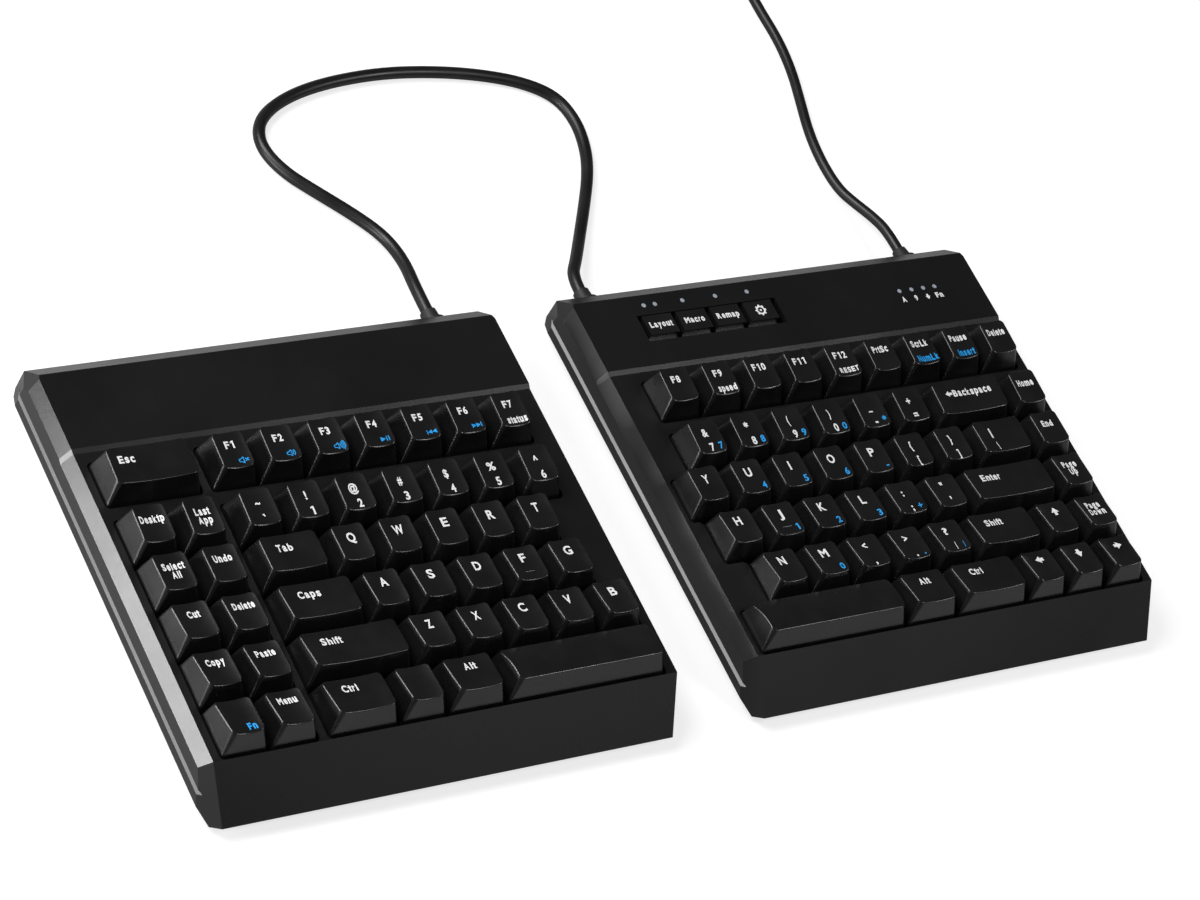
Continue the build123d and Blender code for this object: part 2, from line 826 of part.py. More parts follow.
def keycap_shape(row, width_units, shape):
    """A tapered cap, its top a shallow trough along Y, or a crown on the space bar."""
    width = width_units * key_pitch - cap_gap
    depth = key_pitch - cap_gap
    height = cap_heights[row]
    tilt = row_tilt[row]
    side_in = side_slope_share * cap_blank_height
    front_in = front_slope_share * cap_blank_height
    rear_in = rear_slope_share * cap_blank_height
    front_top_y = -depth / 2 + front_slope_share * height
    along = Vector(0, cos(radians(tilt)), sin(radians(tilt)))
    up = Vector(1, 0, 0).cross(along)
    front_top = Vector(0, front_top_y, rim_z + height)
    sag = cap_dish_depth if width_units == 1 else wide_cap_dish_depth
    dish_half = width / 2 - side_slope_share * height
    dish_radius = (dish_half**2 + sag**2) / (2 * sag)
    rear_height = height + (depth / 2 - front_top_y) * tan(radians(tilt))
    roof_height = min(height, rear_height) - sag - cap_roof
    with BuildPart() as cap:
        with BuildSketch(Plane.XY.offset(rim_z)):
            RectangleRounded(width, depth, cap_corner_radius)
        with BuildSketch(Plane.XY.offset(rim_z + cap_blank_height)):
            with Locations((0, (front_in - rear_in) / 2)):
                RectangleRounded(width - 2 * side_in, depth - front_in - rear_in, cap_top_corner_radius)
        loft(ruled=True)
        if shape == "space":
            crown_drop = space_crown_rise - space_crown_radius
            crown_centre = front_top + along * space_crown_setback + up * crown_drop
            with BuildSketch(Plane(origin=crown_centre, x_dir=along, z_dir=(1, 0, 0))):
                Circle(space_crown_radius)
            extrude(amount=width, both=True, mode=Mode.INTERSECT)
        else:
            dish_centre = front_top + up * (dish_radius - sag)
            with BuildSketch(Plane(origin=dish_centre, x_dir=(1, 0, 0), z_dir=-along)):
                Circle(dish_radius)
            extrude(amount=2 * key_pitch, both=True, mode=Mode.SUBTRACT)
        top_face = max(cap.faces().filter_by(GeomType.CYLINDER), key=lambda face: face.area)
        fillet(top_face.edges(), cap_edge_radius)
        inner_width = width - 2 * cap_wall
        inner_depth = depth - 2 * cap_wall
        front_roof = front_slope_share * roof_height
        rear_roof = rear_slope_share * roof_height
        with BuildSketch(Plane.XY.offset(rim_z)):
            Rectangle(inner_width, inner_depth)
        with BuildSketch(Plane.XY.offset(rim_z + roof_height)):
            with Locations((0, (front_roof - rear_roof) / 2)):
                roof_width = inner_width - 2 * side_slope_share * roof_height
                Rectangle(roof_width, inner_depth - front_roof - rear_roof)
        loft(ruled=True, mode=Mode.SUBTRACT)
        with BuildSketch(Plane.XY.offset(rim_z + boss_bottom_above_rim)):
            Circle(boss_diameter / 2)
        extrude(amount=roof_height - boss_bottom_above_rim + cap_roof / 4)
        if width_units >= wide_key_units:
            reach = stabiliser_reach(width_units)
            with BuildSketch(Plane.XY.offset(rim_z - guide_post_drop)):
                with Locations((-reach, 0), (reach, 0)):
                    Circle(guide_post_diameter / 2)
            extrude(amount=roof_height + guide_post_drop + cap_roof / 4)
        hole = cross_thickness + 2 * cross_clearance
        with BuildSketch(Plane.XY.offset(rim_z + slider_top_above_rim)):
            Rectangle(cross_length + 2 * cross_clearance, hole)
            Rectangle(hole, cross_length + 2 * cross_clearance)
        extrude(amount=cross_height + cross_clearance, mode=Mode.SUBTRACT)
        if shape == "homing":
            bar_y = front_top_y + homing_bar_setback
            bar_z = rim_z + height + homing_bar_setback * tan(radians(tilt)) - sag
            with BuildSketch(Plane(origin=(0, bar_y, bar_z), x_dir=(0, 1, 0), z_dir=(1, 0, 0))):
                Circle(homing_bar_radius)
            extrude(amount=homing_bar_length / 2, both=True)
    return cap.part


def slider_shape():
    """The moving stem of a switch: a block in the housing's bore and a cross above it."""
    block_bottom_z = rim_z + slider_top_above_rim - slider_length
    with BuildPart() as slider:
        with BuildSketch(Plane.XY.offset(block_bottom_z)):
            Rectangle(slider_width, slider_depth)
        extrude(amount=slider_length)
        with BuildSketch(Plane.XY.offset(rim_z + slider_top_above_rim)):
            Rectangle(cross_length, cross_thickness)
            Rectangle(cross_thickness, cross_length)
        extrude(amount=cross_height)
    return slider.part


def button_shape():
    """A program button: cap in the deck slot, flange under the deck and a stem over its switch."""
    cap_bottom_z = ceiling_z - button_flange_thickness
    flange_depth = button_depth + button_slot_front_margin + button_slot_rear_margin + 2 * button_flange_reach
    flange_y = (button_slot_rear_margin - button_slot_front_margin) / 2
    stem_bottom_z = board_top_z + tact_switch_height + button_stem_gap
    with BuildPart() as button:
        with BuildSketch(Plane.XY.offset(cap_bottom_z)):
            Rectangle(button_width, button_depth)
        extrude(amount=deck_top_z - button_stand - cap_bottom_z)
        with BuildSketch(Plane.XY.offset(cap_bottom_z)):
            with Locations((0, flange_y)):
                Rectangle(button_width, flange_depth)
        extrude(amount=button_flange_thickness)
        with BuildSketch(Plane.XY.offset(stem_bottom_z)):
            Circle(button_stem_diameter / 2)
        extrude(amount=cap_bottom_z - stem_bottom_z)
    return button.part


def lens_shape():
    """A light pipe from a lamp on the board up through the deck."""
    pipe_bottom_z = board_top_z + led_height
    with BuildPart() as lens:
        with BuildSketch(Plane.XY.offset(pipe_bottom_z)):
            Circle(lens_diameter / 2)
        extrude(amount=deck_top_z - pipe_bottom_z)
        with BuildSketch(Plane.XY.offset(ceiling_z - lens_flange_thickness)):
            Circle(lens_flange_diameter / 2)
        extrude(amount=lens_flange_thickness)
    return lens.part


# Cables

def gland_shape(x, cable_diameter):
    """A grommet through the rear wall: inner collar, neck, outer flange and short tail."""
    tail_radius = cable_diameter / 2 + gland_tail_margin
    with BuildPart() as gland:
        with BuildSketch(Plane(origin=(x, rear_y - base_wall, cable_height), z_dir=(0, 1, 0))):
            Circle(gland_diameter / 2)
        extrude(amount=base_wall + gland_flange_thickness)
        with BuildSketch(Plane(origin=(x, rear_y, cable_height), z_dir=(0, 1, 0))):
            Circle(gland_flange_diameter / 2)
        extrude(amount=gland_flange_thickness)
        with BuildSketch(Plane(origin=(x, rear_y - base_wall, cable_height), z_dir=(0, 1, 0))):
            Circle(gland_flange_diameter / 2)
        extrude(amount=-gland_collar_thickness)
        with BuildSketch(Plane(origin=(x, rear_y + gland_flange_thickness, cable_height), z_dir=(0, 1, 0))):
            Circle(gland_diameter / 2)
        with BuildSketch(Plane(origin=(x, cable_start_y, cable_height), z_dir=(0, 1, 0))):
            Circle(tail_radius)
        loft()
    return gland.part


cable_start_y = rear_y + gland_flange_thickness + gland_tail_length
left_exit_x = side_x["left"] + inner_exit_from_centre
right_exit_x = side_x["right"] - outer_exit_from_centre
usb_exit_x = side_x["right"] + usb_exit_from_centre
bridge_rest_z = bridge_diameter / 2
usb_rest_z = usb_diameter / 2
bridge_route = [
    (left_exit_x, cable_start_y, cable_height),
    (left_exit_x, 106.6, cable_height),
    (-30.2, 121.8, 5.5),
    (-31.2, 135.8, 3.0),
    (-38.6, 147.2, bridge_rest_z),
    (-49.3, 159.2, bridge_rest_z),
    (-58.5, 169.8, bridge_rest_z),
    (-62.9, 181.5, bridge_rest_z),
    (-60.6, 191.4, bridge_rest_z),
    (-53.1, 199.0, bridge_rest_z),
    (-39.0, 205.6, bridge_rest_z),
    (-20.4, 209.8, bridge_rest_z),
    (3.0, 211.7, bridge_rest_z),
    (25.1, 210.3, bridge_rest_z),
    (46.3, 206.6, bridge_rest_z),
    (64.3, 200.6, bridge_rest_z),
    (75.8, 192.0, bridge_rest_z),
    (78.6, 179.2, bridge_rest_z),
    (76.1, 165.7, bridge_rest_z),
    (70.9, 153.8, bridge_rest_z),
    (62.3, 140.2, bridge_rest_z),
    (51.4, 124.9, 4.0),
    (41.0, 111.3, 7.2),
    (right_exit_x, 103.5, cable_height),
    (right_exit_x, cable_start_y, cable_height),
]
coil_pitch = usb_diameter + coil_turn_gap
coil_outer_radius = coil_mean_diameter / 2 + coil_half_turns_in * coil_pitch / 4
coil_centre_x = coil_start_x - coil_outer_radius
coil_start_y = coil_centre_y - usb_diameter
usb_route = [
    (usb_exit_x, cable_start_y, cable_height),
    (usb_exit_x, 106.0, cable_height),
    (186.6, 115.5, 6.6),
    (184.6, 124.5, 4.0),
    (182.6, 133.4, usb_rest_z),
    (182.0, 147.0, usb_rest_z),
    (184.0, 162.0, usb_rest_z),
    (188.5, 177.5, usb_rest_z),
    (193.0, 193.5, usb_rest_z),
    (195.2, 210.0, usb_rest_z),
    (194.6, 227.0, usb_rest_z),
    (195.3, 244.0, usb_rest_z),
    (coil_centre_x + coil_outer_radius, 259.5, usb_rest_z),
    (coil_centre_x + coil_outer_radius, coil_start_y, usb_rest_z),
]


def corner_radii(route):
    """One bend radius for each inner point, from the shorter run beside it and its turn."""
    radii = []
    for before, corner, after in zip(route, route[1:], route[2:]):
        first = Vector(*corner) - Vector(*before)
        second = Vector(*after) - Vector(*corner)
        half_turn = radians(first.get_angle(second)) / 2
        radii.append(arc_run_share * min(first.length, second.length) / tan(half_turn))
    return radii


def tube_shape(name, route, diameter):
    radii = corner_radii(route)
    with BuildPart() as tube:
        with BuildLine():
            path = FilletPolyline(*route, radius=radii)
        with BuildSketch(Plane(origin=path @ 0, z_dir=path % 0)):
            Circle(diameter / 2)
        sweep()
    expected = pi * (diameter / 2) ** 2 * path.length
    print(name, "length", round(path.length, 1), "volume over section times length",
          round(tube.part.volume / expected, 5))
    print(name, "bend radii in diameters", [round(radius / diameter, 1) for radius in radii])
    return tube.part, path.length


def coil_points():
    """Ends of the half turns: inward on the desk, one climb, outward on top."""
    radius = coil_outer_radius
    side = 1
    z = usb_rest_z
    ends = [(coil_centre_x + radius, z)]
    step_in = coil_pitch / 2
    inward = [-step_in] * (coil_half_turns_in - 1) + [-step_in - coil_reversal_inset]
    outward = [step_in + coil_reversal_inset] + [step_in] * (coil_half_turns_out - 1)
    steps = inward + [0] + outward
    for step in steps:
        radius = radius + step
        side = -side
        if step == 0:
            z = z + usb_diameter + coil_layer_gap
        ends.append((coil_centre_x + side * radius, z))
    return ends


def coil_shape():
    """One unbroken tube: a straight start, the turns and a tail that comes down to the plug."""
    ends = coil_points()
    start_x, start_z = ends[0]
    y = coil_centre_y
    with BuildPart() as coil:
        with BuildLine() as path:
            Line((start_x, coil_start_y, start_z), (start_x, y, start_z))
            heading = 1
            for (x0, z0), (x1, z1) in zip(ends, ends[1:]):
                if z0 == z1:
                    TangentArc((x0, y, z0), (x1, y, z1), tangent=(0, heading, 0))
                else:
                    middle_x = (x0 + x1) / 2
                    middle_z = (z0 + z1) / 2
                    reach = sqrt(((x1 - x0) / 2) ** 2 + ((z1 - z0) / 2) ** 2)
                    middle = (middle_x, y + heading * reach, middle_z)
                    TangentArc((x0, y, z0), middle, tangent=(0, heading, 0))
                    TangentArc(middle, (x1, y, z1), tangent=(x1 - x0, 0, z1 - z0))
                heading = -heading
            end_x, end_z = ends[-1]
            plug_z = plug_body_height / 2
            middle = (end_x, y + coil_tail_length / 2, (end_z + plug_z) / 2)
            first = TangentArc((end_x, y, end_z), middle, tangent=(0, heading, 0))
            TangentArc(middle, (end_x, y + coil_tail_length, plug_z), tangent=first % 1)
            Line((end_x, y + coil_tail_length, plug_z), (end_x, y + coil_tail_length + usb_diameter, plug_z))
        with BuildSketch(Plane(origin=(start_x, coil_start_y, start_z), z_dir=(0, 1, 0))):
            Circle(usb_diameter / 2)
        sweep(path=path.wires()[0])
    wire = path.wires()[0]
    expected = pi * (usb_diameter / 2) ** 2 * wire.length
    print("usb_cable_coil length", round(wire.length, 1), "volume over section times length",
          round(coil.part.volume / expected, 5))
    print("usb_cable_coil heading at its end", heading, "least gap to itself", round(coil_gap(wire), 2))
    return coil.part, wire.length, end_x


def coil_gap(wire):
    """Least distance between points over four diameters apart along the tube, less one diameter."""
    count = int(wire.length / usb_diameter * 4)
    skip = int(count * 4 * usb_diameter / wire.length) + 1
    points = [tuple(wire @ (i / count)) for i in range(count + 1)]
    nearest = min(dist(points[i], points[j]) for i in range(count) for j in range(i + skip, count + 1))
    return nearest - usb_diameter


def plug_shapes(x, y):
    """The plug's moulded body, and its folded shell with the contact tongue inside."""
    z = plug_body_height / 2
    with BuildPart() as body:
        with BuildSketch(Plane(origin=(x, y, z), x_dir=(1, 0, 0), z_dir=(0, 1, 0))):
            RectangleRounded(plug_body_width, plug_body_height, plug_body_radius)
        extrude(amount=plug_body_length)
    shell_y = y + plug_body_length
    tongue_z = z + plug_tongue_height / 2 + plug_tongue_gap
    inner_width = plug_shell_width - 2 * plug_shell_wall
    inner_height = plug_shell_height - 2 * plug_shell_wall
    with BuildPart() as shell:
        with BuildSketch(Plane(origin=(x, shell_y, z), x_dir=(1, 0, 0), z_dir=(0, 1, 0))):
            Rectangle(plug_shell_width, plug_shell_height)
            Rectangle(inner_width, inner_height, mode=Mode.SUBTRACT)
        extrude(amount=plug_shell_length)
        with BuildSketch(Plane(origin=(x, shell_y, tongue_z), x_dir=(1, 0, 0), z_dir=(0, 1, 0))):
            Rectangle(inner_width, plug_tongue_height)
        extrude(amount=plug_shell_length - overrun)
    return body.part, shell.part


# Writing the sub-parts

def write(name, part):
    part.label = name
    export_step(part, "parts/" + name + ".step")


def write_placed(name, shape, places):
    """Write copies of one shape at their places as one sub-part."""
    with BuildPart() as placed:
        with Locations(*places):
            add(shape)
    write(name, placed.part)


def write_key_group(name, side, keys, caps, slider):
    with BuildPart() as group:
        for row, middle, width, shape in keys:
            with Locations((side_x[side] + key_x(side, middle), key_y(row), 0)):
                add(caps[(row, width, shape)])
                add(slider)
    write(name, group.part)


def write_module(side, blank, lower, caps, slider, housing):
    here = [(side_x[side], 0, 0)]
    write_placed(side + "_top_cover", cover_shape(side, blank, lower), here)
    write_placed(side + "_base", base_shape(side, blank, lower), here)
    write_placed(side + "_switch_plate", plate_shape(side), here)
    write_placed(side + "_circuit_board", board_shape(side), here)
    keys = key_places(side)
    housing_places = [(side_x[side] + key_x(side, key[1]), key_y(key[0]), 0) for key in keys]
    write_placed(side + "_switch_housings", housing, housing_places)
    with BuildPart() as stabilisers:
        for row, middle, width, shape in keys:
            if width >= wide_key_units:
                with Locations((side_x[side] + key_x(side, middle), key_y(row), 0)):
                    add(stabiliser_shape(stabiliser_reach(width)))
    write(side + "_stabilisers", stabilisers.part)
    write_placed(side + "_screws", screw_shape(), [(side_x[side] + x, y, 0) for x, y in screw_places])
    write_placed(side + "_feet", foot_shape(), [(side_x[side] + x, y, 0) for x, y in foot_places()])
    for name, group in keys_of_side[side].items():
        write_key_group(name, side, group, caps, slider)


def main():
    os.makedirs("parts", exist_ok=True)
    blank = case_blank()
    lower = below_parting()
    caps = {}
    for side in ("left", "right"):
        for row, _, width, shape in key_places(side):
            if (row, width, shape) not in caps:
                caps[(row, width, shape)] = keycap_shape(row, width, shape)
    slider = slider_shape()
    housing = housing_shape()
    for side in ("left", "right"):
        write_module(side, blank, lower, caps, slider, housing)

    button = button_shape()
    button_y = rear_y - button_from_rear - button_depth / 2
    for index, name in enumerate(["layout_button", "macro_button", "remap_button", "settings_button"]):
        write_placed(name, button, [(side_x["right"] + button_x(index), button_y, 0)])
    write_placed("indicator_lenses", lens_shape(), [(side_x["right"] + x, y, 0) for x, y in lens_places()])

    write("left_bridge_gland", gland_shape(left_exit_x, bridge_diameter))
    write("right_bridge_gland", gland_shape(right_exit_x, bridge_diameter))
    write("usb_gland", gland_shape(usb_exit_x, usb_diameter))
    bridge, _ = tube_shape("bridge_cable", bridge_route, bridge_diameter)
    write("bridge_cable", bridge)
    usb, usb_length = tube_shape("usb_cable", usb_route, usb_diameter)
    write("usb_cable", usb)
    coil, coil_length, plug_x = coil_shape()
    write("usb_cable_coil", coil)
    print("usb cable length in all", round(usb_length + coil_length, 1))
    plug_y = coil_centre_y + coil_tail_length + usb_diameter
    plug_body, plug_shell = plug_shapes(plug_x, plug_y)
    write("usb_plug_body", plug_body)
    write("usb_plug_shell", plug_shell)
    print("module width", round(2 * foot_half, 2), "case depth", round(case_depth, 2),
          "number row y", round(number_row_y, 2),
          "left origin", round(side_x["left"] + key_origin_x["left"], 2),
          "right origin", round(side_x["right"] + key_origin_x["right"], 2))


main()
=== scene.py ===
import json
import math

import bpy
import numpy as np
from mathutils import Matrix, Vector


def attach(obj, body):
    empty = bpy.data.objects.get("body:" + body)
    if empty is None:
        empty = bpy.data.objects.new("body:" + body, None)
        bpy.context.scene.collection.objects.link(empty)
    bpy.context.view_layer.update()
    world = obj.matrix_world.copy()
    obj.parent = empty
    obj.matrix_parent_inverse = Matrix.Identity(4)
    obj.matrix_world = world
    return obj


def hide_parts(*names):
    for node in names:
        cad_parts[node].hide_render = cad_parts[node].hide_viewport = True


# Split keyboard: two low modules, keys in rows, one cable between them and one to a plug.
# Metres, the same frame as the CAD: X along the key rows, Y to the rear, Z up.

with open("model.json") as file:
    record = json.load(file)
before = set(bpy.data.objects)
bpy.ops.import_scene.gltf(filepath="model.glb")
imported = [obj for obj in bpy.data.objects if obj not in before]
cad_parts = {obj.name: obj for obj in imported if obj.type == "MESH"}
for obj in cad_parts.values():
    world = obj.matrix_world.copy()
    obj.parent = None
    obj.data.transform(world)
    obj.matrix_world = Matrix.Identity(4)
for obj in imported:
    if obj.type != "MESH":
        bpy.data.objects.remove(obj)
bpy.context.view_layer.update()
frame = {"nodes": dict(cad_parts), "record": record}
nodes = frame["nodes"]
scene = bpy.context.scene
mm = 0.001
print("frame loaded:", len(nodes), "nodes")


# camera

cameraSetup = {
    "target": (-0.03047, 0.06493, 0.019),
    "azimuth": -50.683,    # degrees, 0 looks from the front
    "elevation": 44.778,
    "roll": 32.737,
    "distance": 1.52708,
    "lens": 127.47,
    "shift": (0.0993, -0.0730),
    "sensor": 36.0,
    "clip": (0.05, 50.0),
}


def placeCamera(setup):
    data = bpy.data.cameras.new("photoCamera")
    camera = bpy.data.objects.new("photoCamera", data)
    scene.collection.objects.link(camera)
    azimuth = math.radians(setup["azimuth"])
    elevation = math.radians(setup["elevation"])
    roll = math.radians(setup["roll"])
    back = Vector((
        math.sin(azimuth) * math.cos(elevation),
        -math.cos(azimuth) * math.cos(elevation),
        math.sin(elevation),
    ))
    level = Vector((0, 0, 1)).cross(back).normalized()
    upright = back.cross(level)
    right = math.cos(roll) * level + math.sin(roll) * upright
    up = -math.sin(roll) * level + math.cos(roll) * upright
    turn = Matrix((right, up, back)).transposed().to_4x4()
    camera.matrix_world = Matrix.Translation(Vector(setup["target"]) + back * setup["distance"]) @ turn
    data.lens = setup["lens"]
    data.sensor_width = setup["sensor"]
    data.sensor_fit = "HORIZONTAL"
    data.shift_x, data.shift_y = setup["shift"]
    data.clip_start, data.clip_end = setup["clip"]
    scene.camera = camera


placeCamera(cameraSetup)
scene.view_settings.view_transform = "Standard"
print("camera placed")


# cables

bridgeCable = {
    "diameter": 4.8,
    "length": 360.9,
    "route": [
        (-33.906, 95.811, 9.0), (-33.906, 106.6, 9.0), (-30.2, 121.8, 5.5), (-31.2, 135.8, 3.0),
        (-38.6, 147.2, 2.4), (-49.3, 159.2, 2.4), (-58.5, 169.8, 2.4), (-62.9, 181.5, 2.4),
        (-60.6, 191.4, 2.4), (-53.1, 199.0, 2.4), (-39.0, 205.6, 2.4), (-20.4, 209.8, 2.4),
        (3.0, 211.7, 2.4), (25.1, 210.3, 2.4), (46.3, 206.6, 2.4), (64.3, 200.6, 2.4),
        (75.8, 192.0, 2.4), (78.6, 179.2, 2.4), (76.1, 165.7, 2.4), (70.9, 153.8, 2.4),
        (62.3, 140.2, 2.4), (51.4, 124.9, 4.0), (41.0, 111.3, 7.2), (34.406, 103.5, 9.0),
        (34.406, 95.811, 9.0),
    ],
}
usbCable = {
    "diameter": 4.2,
    "length": 1694.7,
    "route": [
        (187.606, 95.811, 9.0), (187.606, 106.0, 9.0), (186.6, 115.5, 6.6), (184.6, 124.5, 4.0),
        (182.6, 133.4, 2.1), (182.0, 147.0, 2.1), (184.0, 162.0, 2.1), (188.5, 177.5, 2.1),
        (193.0, 193.5, 2.1), (195.2, 210.0, 2.1), (194.6, 227.0, 2.1), (195.3, 244.0, 2.1),
        (196.0, 259.5, 2.1), (196.0, 273.8, 2.1),
    ],
    "coilMiddle": (161.7, 278.0),
    # where half turns end, as distances from the coil's middle: first on the desk, then on top of them
    "turnsIn": [34.3, 31.9, 29.5, 27.1, 24.7, 22.3, 19.9, 17.5, 15.1, 11.8],
    "turnsOut": [11.8, 15.1, 17.5, 19.9, 22.3, 24.7, 27.1, 29.5, 31.9, 34.3, 36.7],
    "layers": (2.1, 6.9),
    "spread": 1.013,    # control points stand a little outside the line that they draw
    "tail": [
        (198.4, 283.0, 6.9), (198.4, 290.0, 6.6), (198.4, 297.0, 4.4), (198.4, 304.0, 4.0),
        (198.4, 312.2, 4.0),
    ],
}


def coilTurns(cable, perHalf=8):
    # half circles laid end to end: each one's middle is halfway between its two ends
    radii = cable["turnsIn"] + cable["turnsOut"]
    lower, upper = cable["layers"]
    middleX, middleY = cable["coilMiddle"]
    share = (np.arange(perHalf) + 0.5) / perHalf
    points = []
    side, heading = 1, 1
    for i, (first, last) in enumerate(zip(radii, radii[1:])):
        centre = middleX + side * (first - last) / 2
        reach = (first + last) / 2 * cable["spread"]
        climb = share * share * (3 - 2 * share)
        if i < len(cable["turnsIn"]) - 1:
            height = np.full(perHalf, lower)
        elif i == len(cable["turnsIn"]) - 1:
            height = lower + (upper - lower) * climb
        else:
            height = np.full(perHalf, upper)
        x = centre + side * reach * np.cos(share * math.pi)
        y = middleY + heading * reach * np.sin(share * math.pi)
        points += list(zip(x, y, height))
        side, heading = -side, -heading
    return points


def cordCurve(name, points, diameter):
    # a round tube along a smooth curve that the points steer
    curve = bpy.data.curves.new(name, "CURVE")
    curve.dimensions = "3D"
    curve.bevel_depth = 1.0    # times each point's own radius
    curve.bevel_resolution = 5
    curve.resolution_u = 6
    curve.use_fill_caps = True
    spline = curve.splines.new("NURBS")
    spline.points.add(len(points) - 1)
    flat = np.ones((len(points), 4))
    flat[:, :3] = np.array(points, float) * mm
    spline.points.foreach_set("co", flat.ravel())
    spline.points.foreach_set("radius", np.full(len(points), diameter / 2 * mm))
    spline.order_u = 3
    spline.use_endpoint_u = True
    cord = bpy.data.objects.new(name, curve)
    scene.collection.objects.link(cord)
    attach(cord, "case")
    return cord


bridge = cordCurve("bridgeCord", bridgeCable["route"], bridgeCable["diameter"])
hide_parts("bridge_cable")
usbPoints = usbCable["route"] + coilTurns(usbCable) + usbCable["tail"]
usb = cordCurve("usbCord", usbPoints, usbCable["diameter"])
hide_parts("usb_cable", "usb_cable_coil")
print("cables laid")


# shared surface effects

def newGroup(name, inputs, outputs):
    group = bpy.data.node_groups.new(name, "ShaderNodeTree")
    for socketName, kind, value in inputs:
        socket = group.interface.new_socket(name=socketName, in_out="INPUT", socket_type=kind)
        if value is not None:
            socket.default_value = value
    for socketName, kind in outputs:
        group.interface.new_socket(name=socketName, in_out="OUTPUT", socket_type=kind)
    return group, group.nodes.new("NodeGroupInput"), group.nodes.new("NodeGroupOutput")


cloudRange = (0.3, 0.7)    # nearly all of the noise's values lie between these


def mouldedGrainGroup():
    # spark-eroded texture: fine grain for height, broad clouds for colour and roughness
    group, source, sink = newGroup(
        "mouldedGrain",
        [("Grain Scale", "NodeSocketFloat", 2200.0), ("Cloud Scale", "NodeSocketFloat", 35.0),
         ("Colour", "NodeSocketColor", (0.02, 0.02, 0.02, 1)), ("Variation", "NodeSocketFloat", 0.2),
         ("Roughness Low", "NodeSocketFloat", 0.4), ("Roughness High", "NodeSocketFloat", 0.6)],
        [("Colour", "NodeSocketColor"), ("Roughness", "NodeSocketFloat"), ("Height", "NodeSocketFloat")],
    )
    new, link = group.nodes.new, group.links.new
    place = new("ShaderNodeTexCoord")
    grain = new("ShaderNodeTexNoise")
    grain.inputs["Detail"].default_value = 3.0
    grain.inputs["Roughness"].default_value = 0.6
    clouds = new("ShaderNodeTexNoise")
    clouds.inputs["Detail"].default_value = 4.0
    link(place.outputs["Object"], grain.inputs["Vector"])
    link(place.outputs["Object"], clouds.inputs["Vector"])
    link(source.outputs["Grain Scale"], grain.inputs["Scale"])
    link(source.outputs["Cloud Scale"], clouds.inputs["Scale"])
    swing = new("ShaderNodeMapRange")    # clouds to a factor around one
    swing.inputs["From Min"].default_value, swing.inputs["From Max"].default_value = cloudRange
    low = new("ShaderNodeMath")
    low.operation = "SUBTRACT"
    low.inputs[0].default_value = 1.0
    high = new("ShaderNodeMath")
    high.operation = "ADD"
    high.inputs[0].default_value = 1.0
    link(source.outputs["Variation"], low.inputs[1])
    link(source.outputs["Variation"], high.inputs[1])
    link(clouds.outputs["Fac"], swing.inputs["Value"])
    link(low.outputs[0], swing.inputs["To Min"])
    link(high.outputs[0], swing.inputs["To Max"])
    tint = new("ShaderNodeVectorMath")
    tint.operation = "SCALE"
    link(source.outputs["Colour"], tint.inputs[0])
    link(swing.outputs["Result"], tint.inputs["Scale"])
    link(tint.outputs["Vector"], sink.inputs["Colour"])
    rough = new("ShaderNodeMapRange")
    rough.inputs["From Min"].default_value, rough.inputs["From Max"].default_value = cloudRange
    link(clouds.outputs["Fac"], rough.inputs["Value"])
    link(source.outputs["Roughness Low"], rough.inputs["To Min"])
    link(source.outputs["Roughness High"], rough.inputs["To Max"])
    link(rough.outputs["Result"], sink.inputs["Roughness"])
    link(grain.outputs["Fac"], sink.inputs["Height"])
    return group


mouldedGrain = mouldedGrainGroup()
print("surface groups made")


# materials

grainDepth = 0.00004    # metres between the grain's lowest and highest points
commonIor = 1.47        # for finishes that give none of their own


def grainMaterial(name, look):
    material = bpy.data.materials.new(name)
    material.use_nodes = True
    tree = material.node_tree
    shader = tree.nodes["Principled BSDF"]
    grain = tree.nodes.new("ShaderNodeGroup")
    grain.node_tree = mouldedGrain
    grain.inputs["Grain Scale"].default_value = look["grain"]
    grain.inputs["Cloud Scale"].default_value = look["clouds"]
    grain.inputs["Colour"].default_value = (*look["colour"], 1)
    grain.inputs["Variation"].default_value = look["variation"]
    grain.inputs["Roughness Low"].default_value = look["roughness"][0]
    grain.inputs["Roughness High"].default_value = look["roughness"][1]
    bump = tree.nodes.new("ShaderNodeBump")
    bump.inputs["Strength"].default_value = look["bump"]
    bump.inputs["Distance"].default_value = grainDepth
    tree.links.new(grain.outputs["Colour"], shader.inputs["Base Color"])
    tree.links.new(grain.outputs["Roughness"], shader.inputs["Roughness"])
    tree.links.new(grain.outputs["Height"], bump.inputs["Height"])
    tree.links.new(bump.outputs["Normal"], shader.inputs["Normal"])
    shader.inputs["Metallic"].default_value = look.get("metallic", 0.0)
    shader.inputs["IOR"].default_value = look.get("ior", commonIor)
    return material


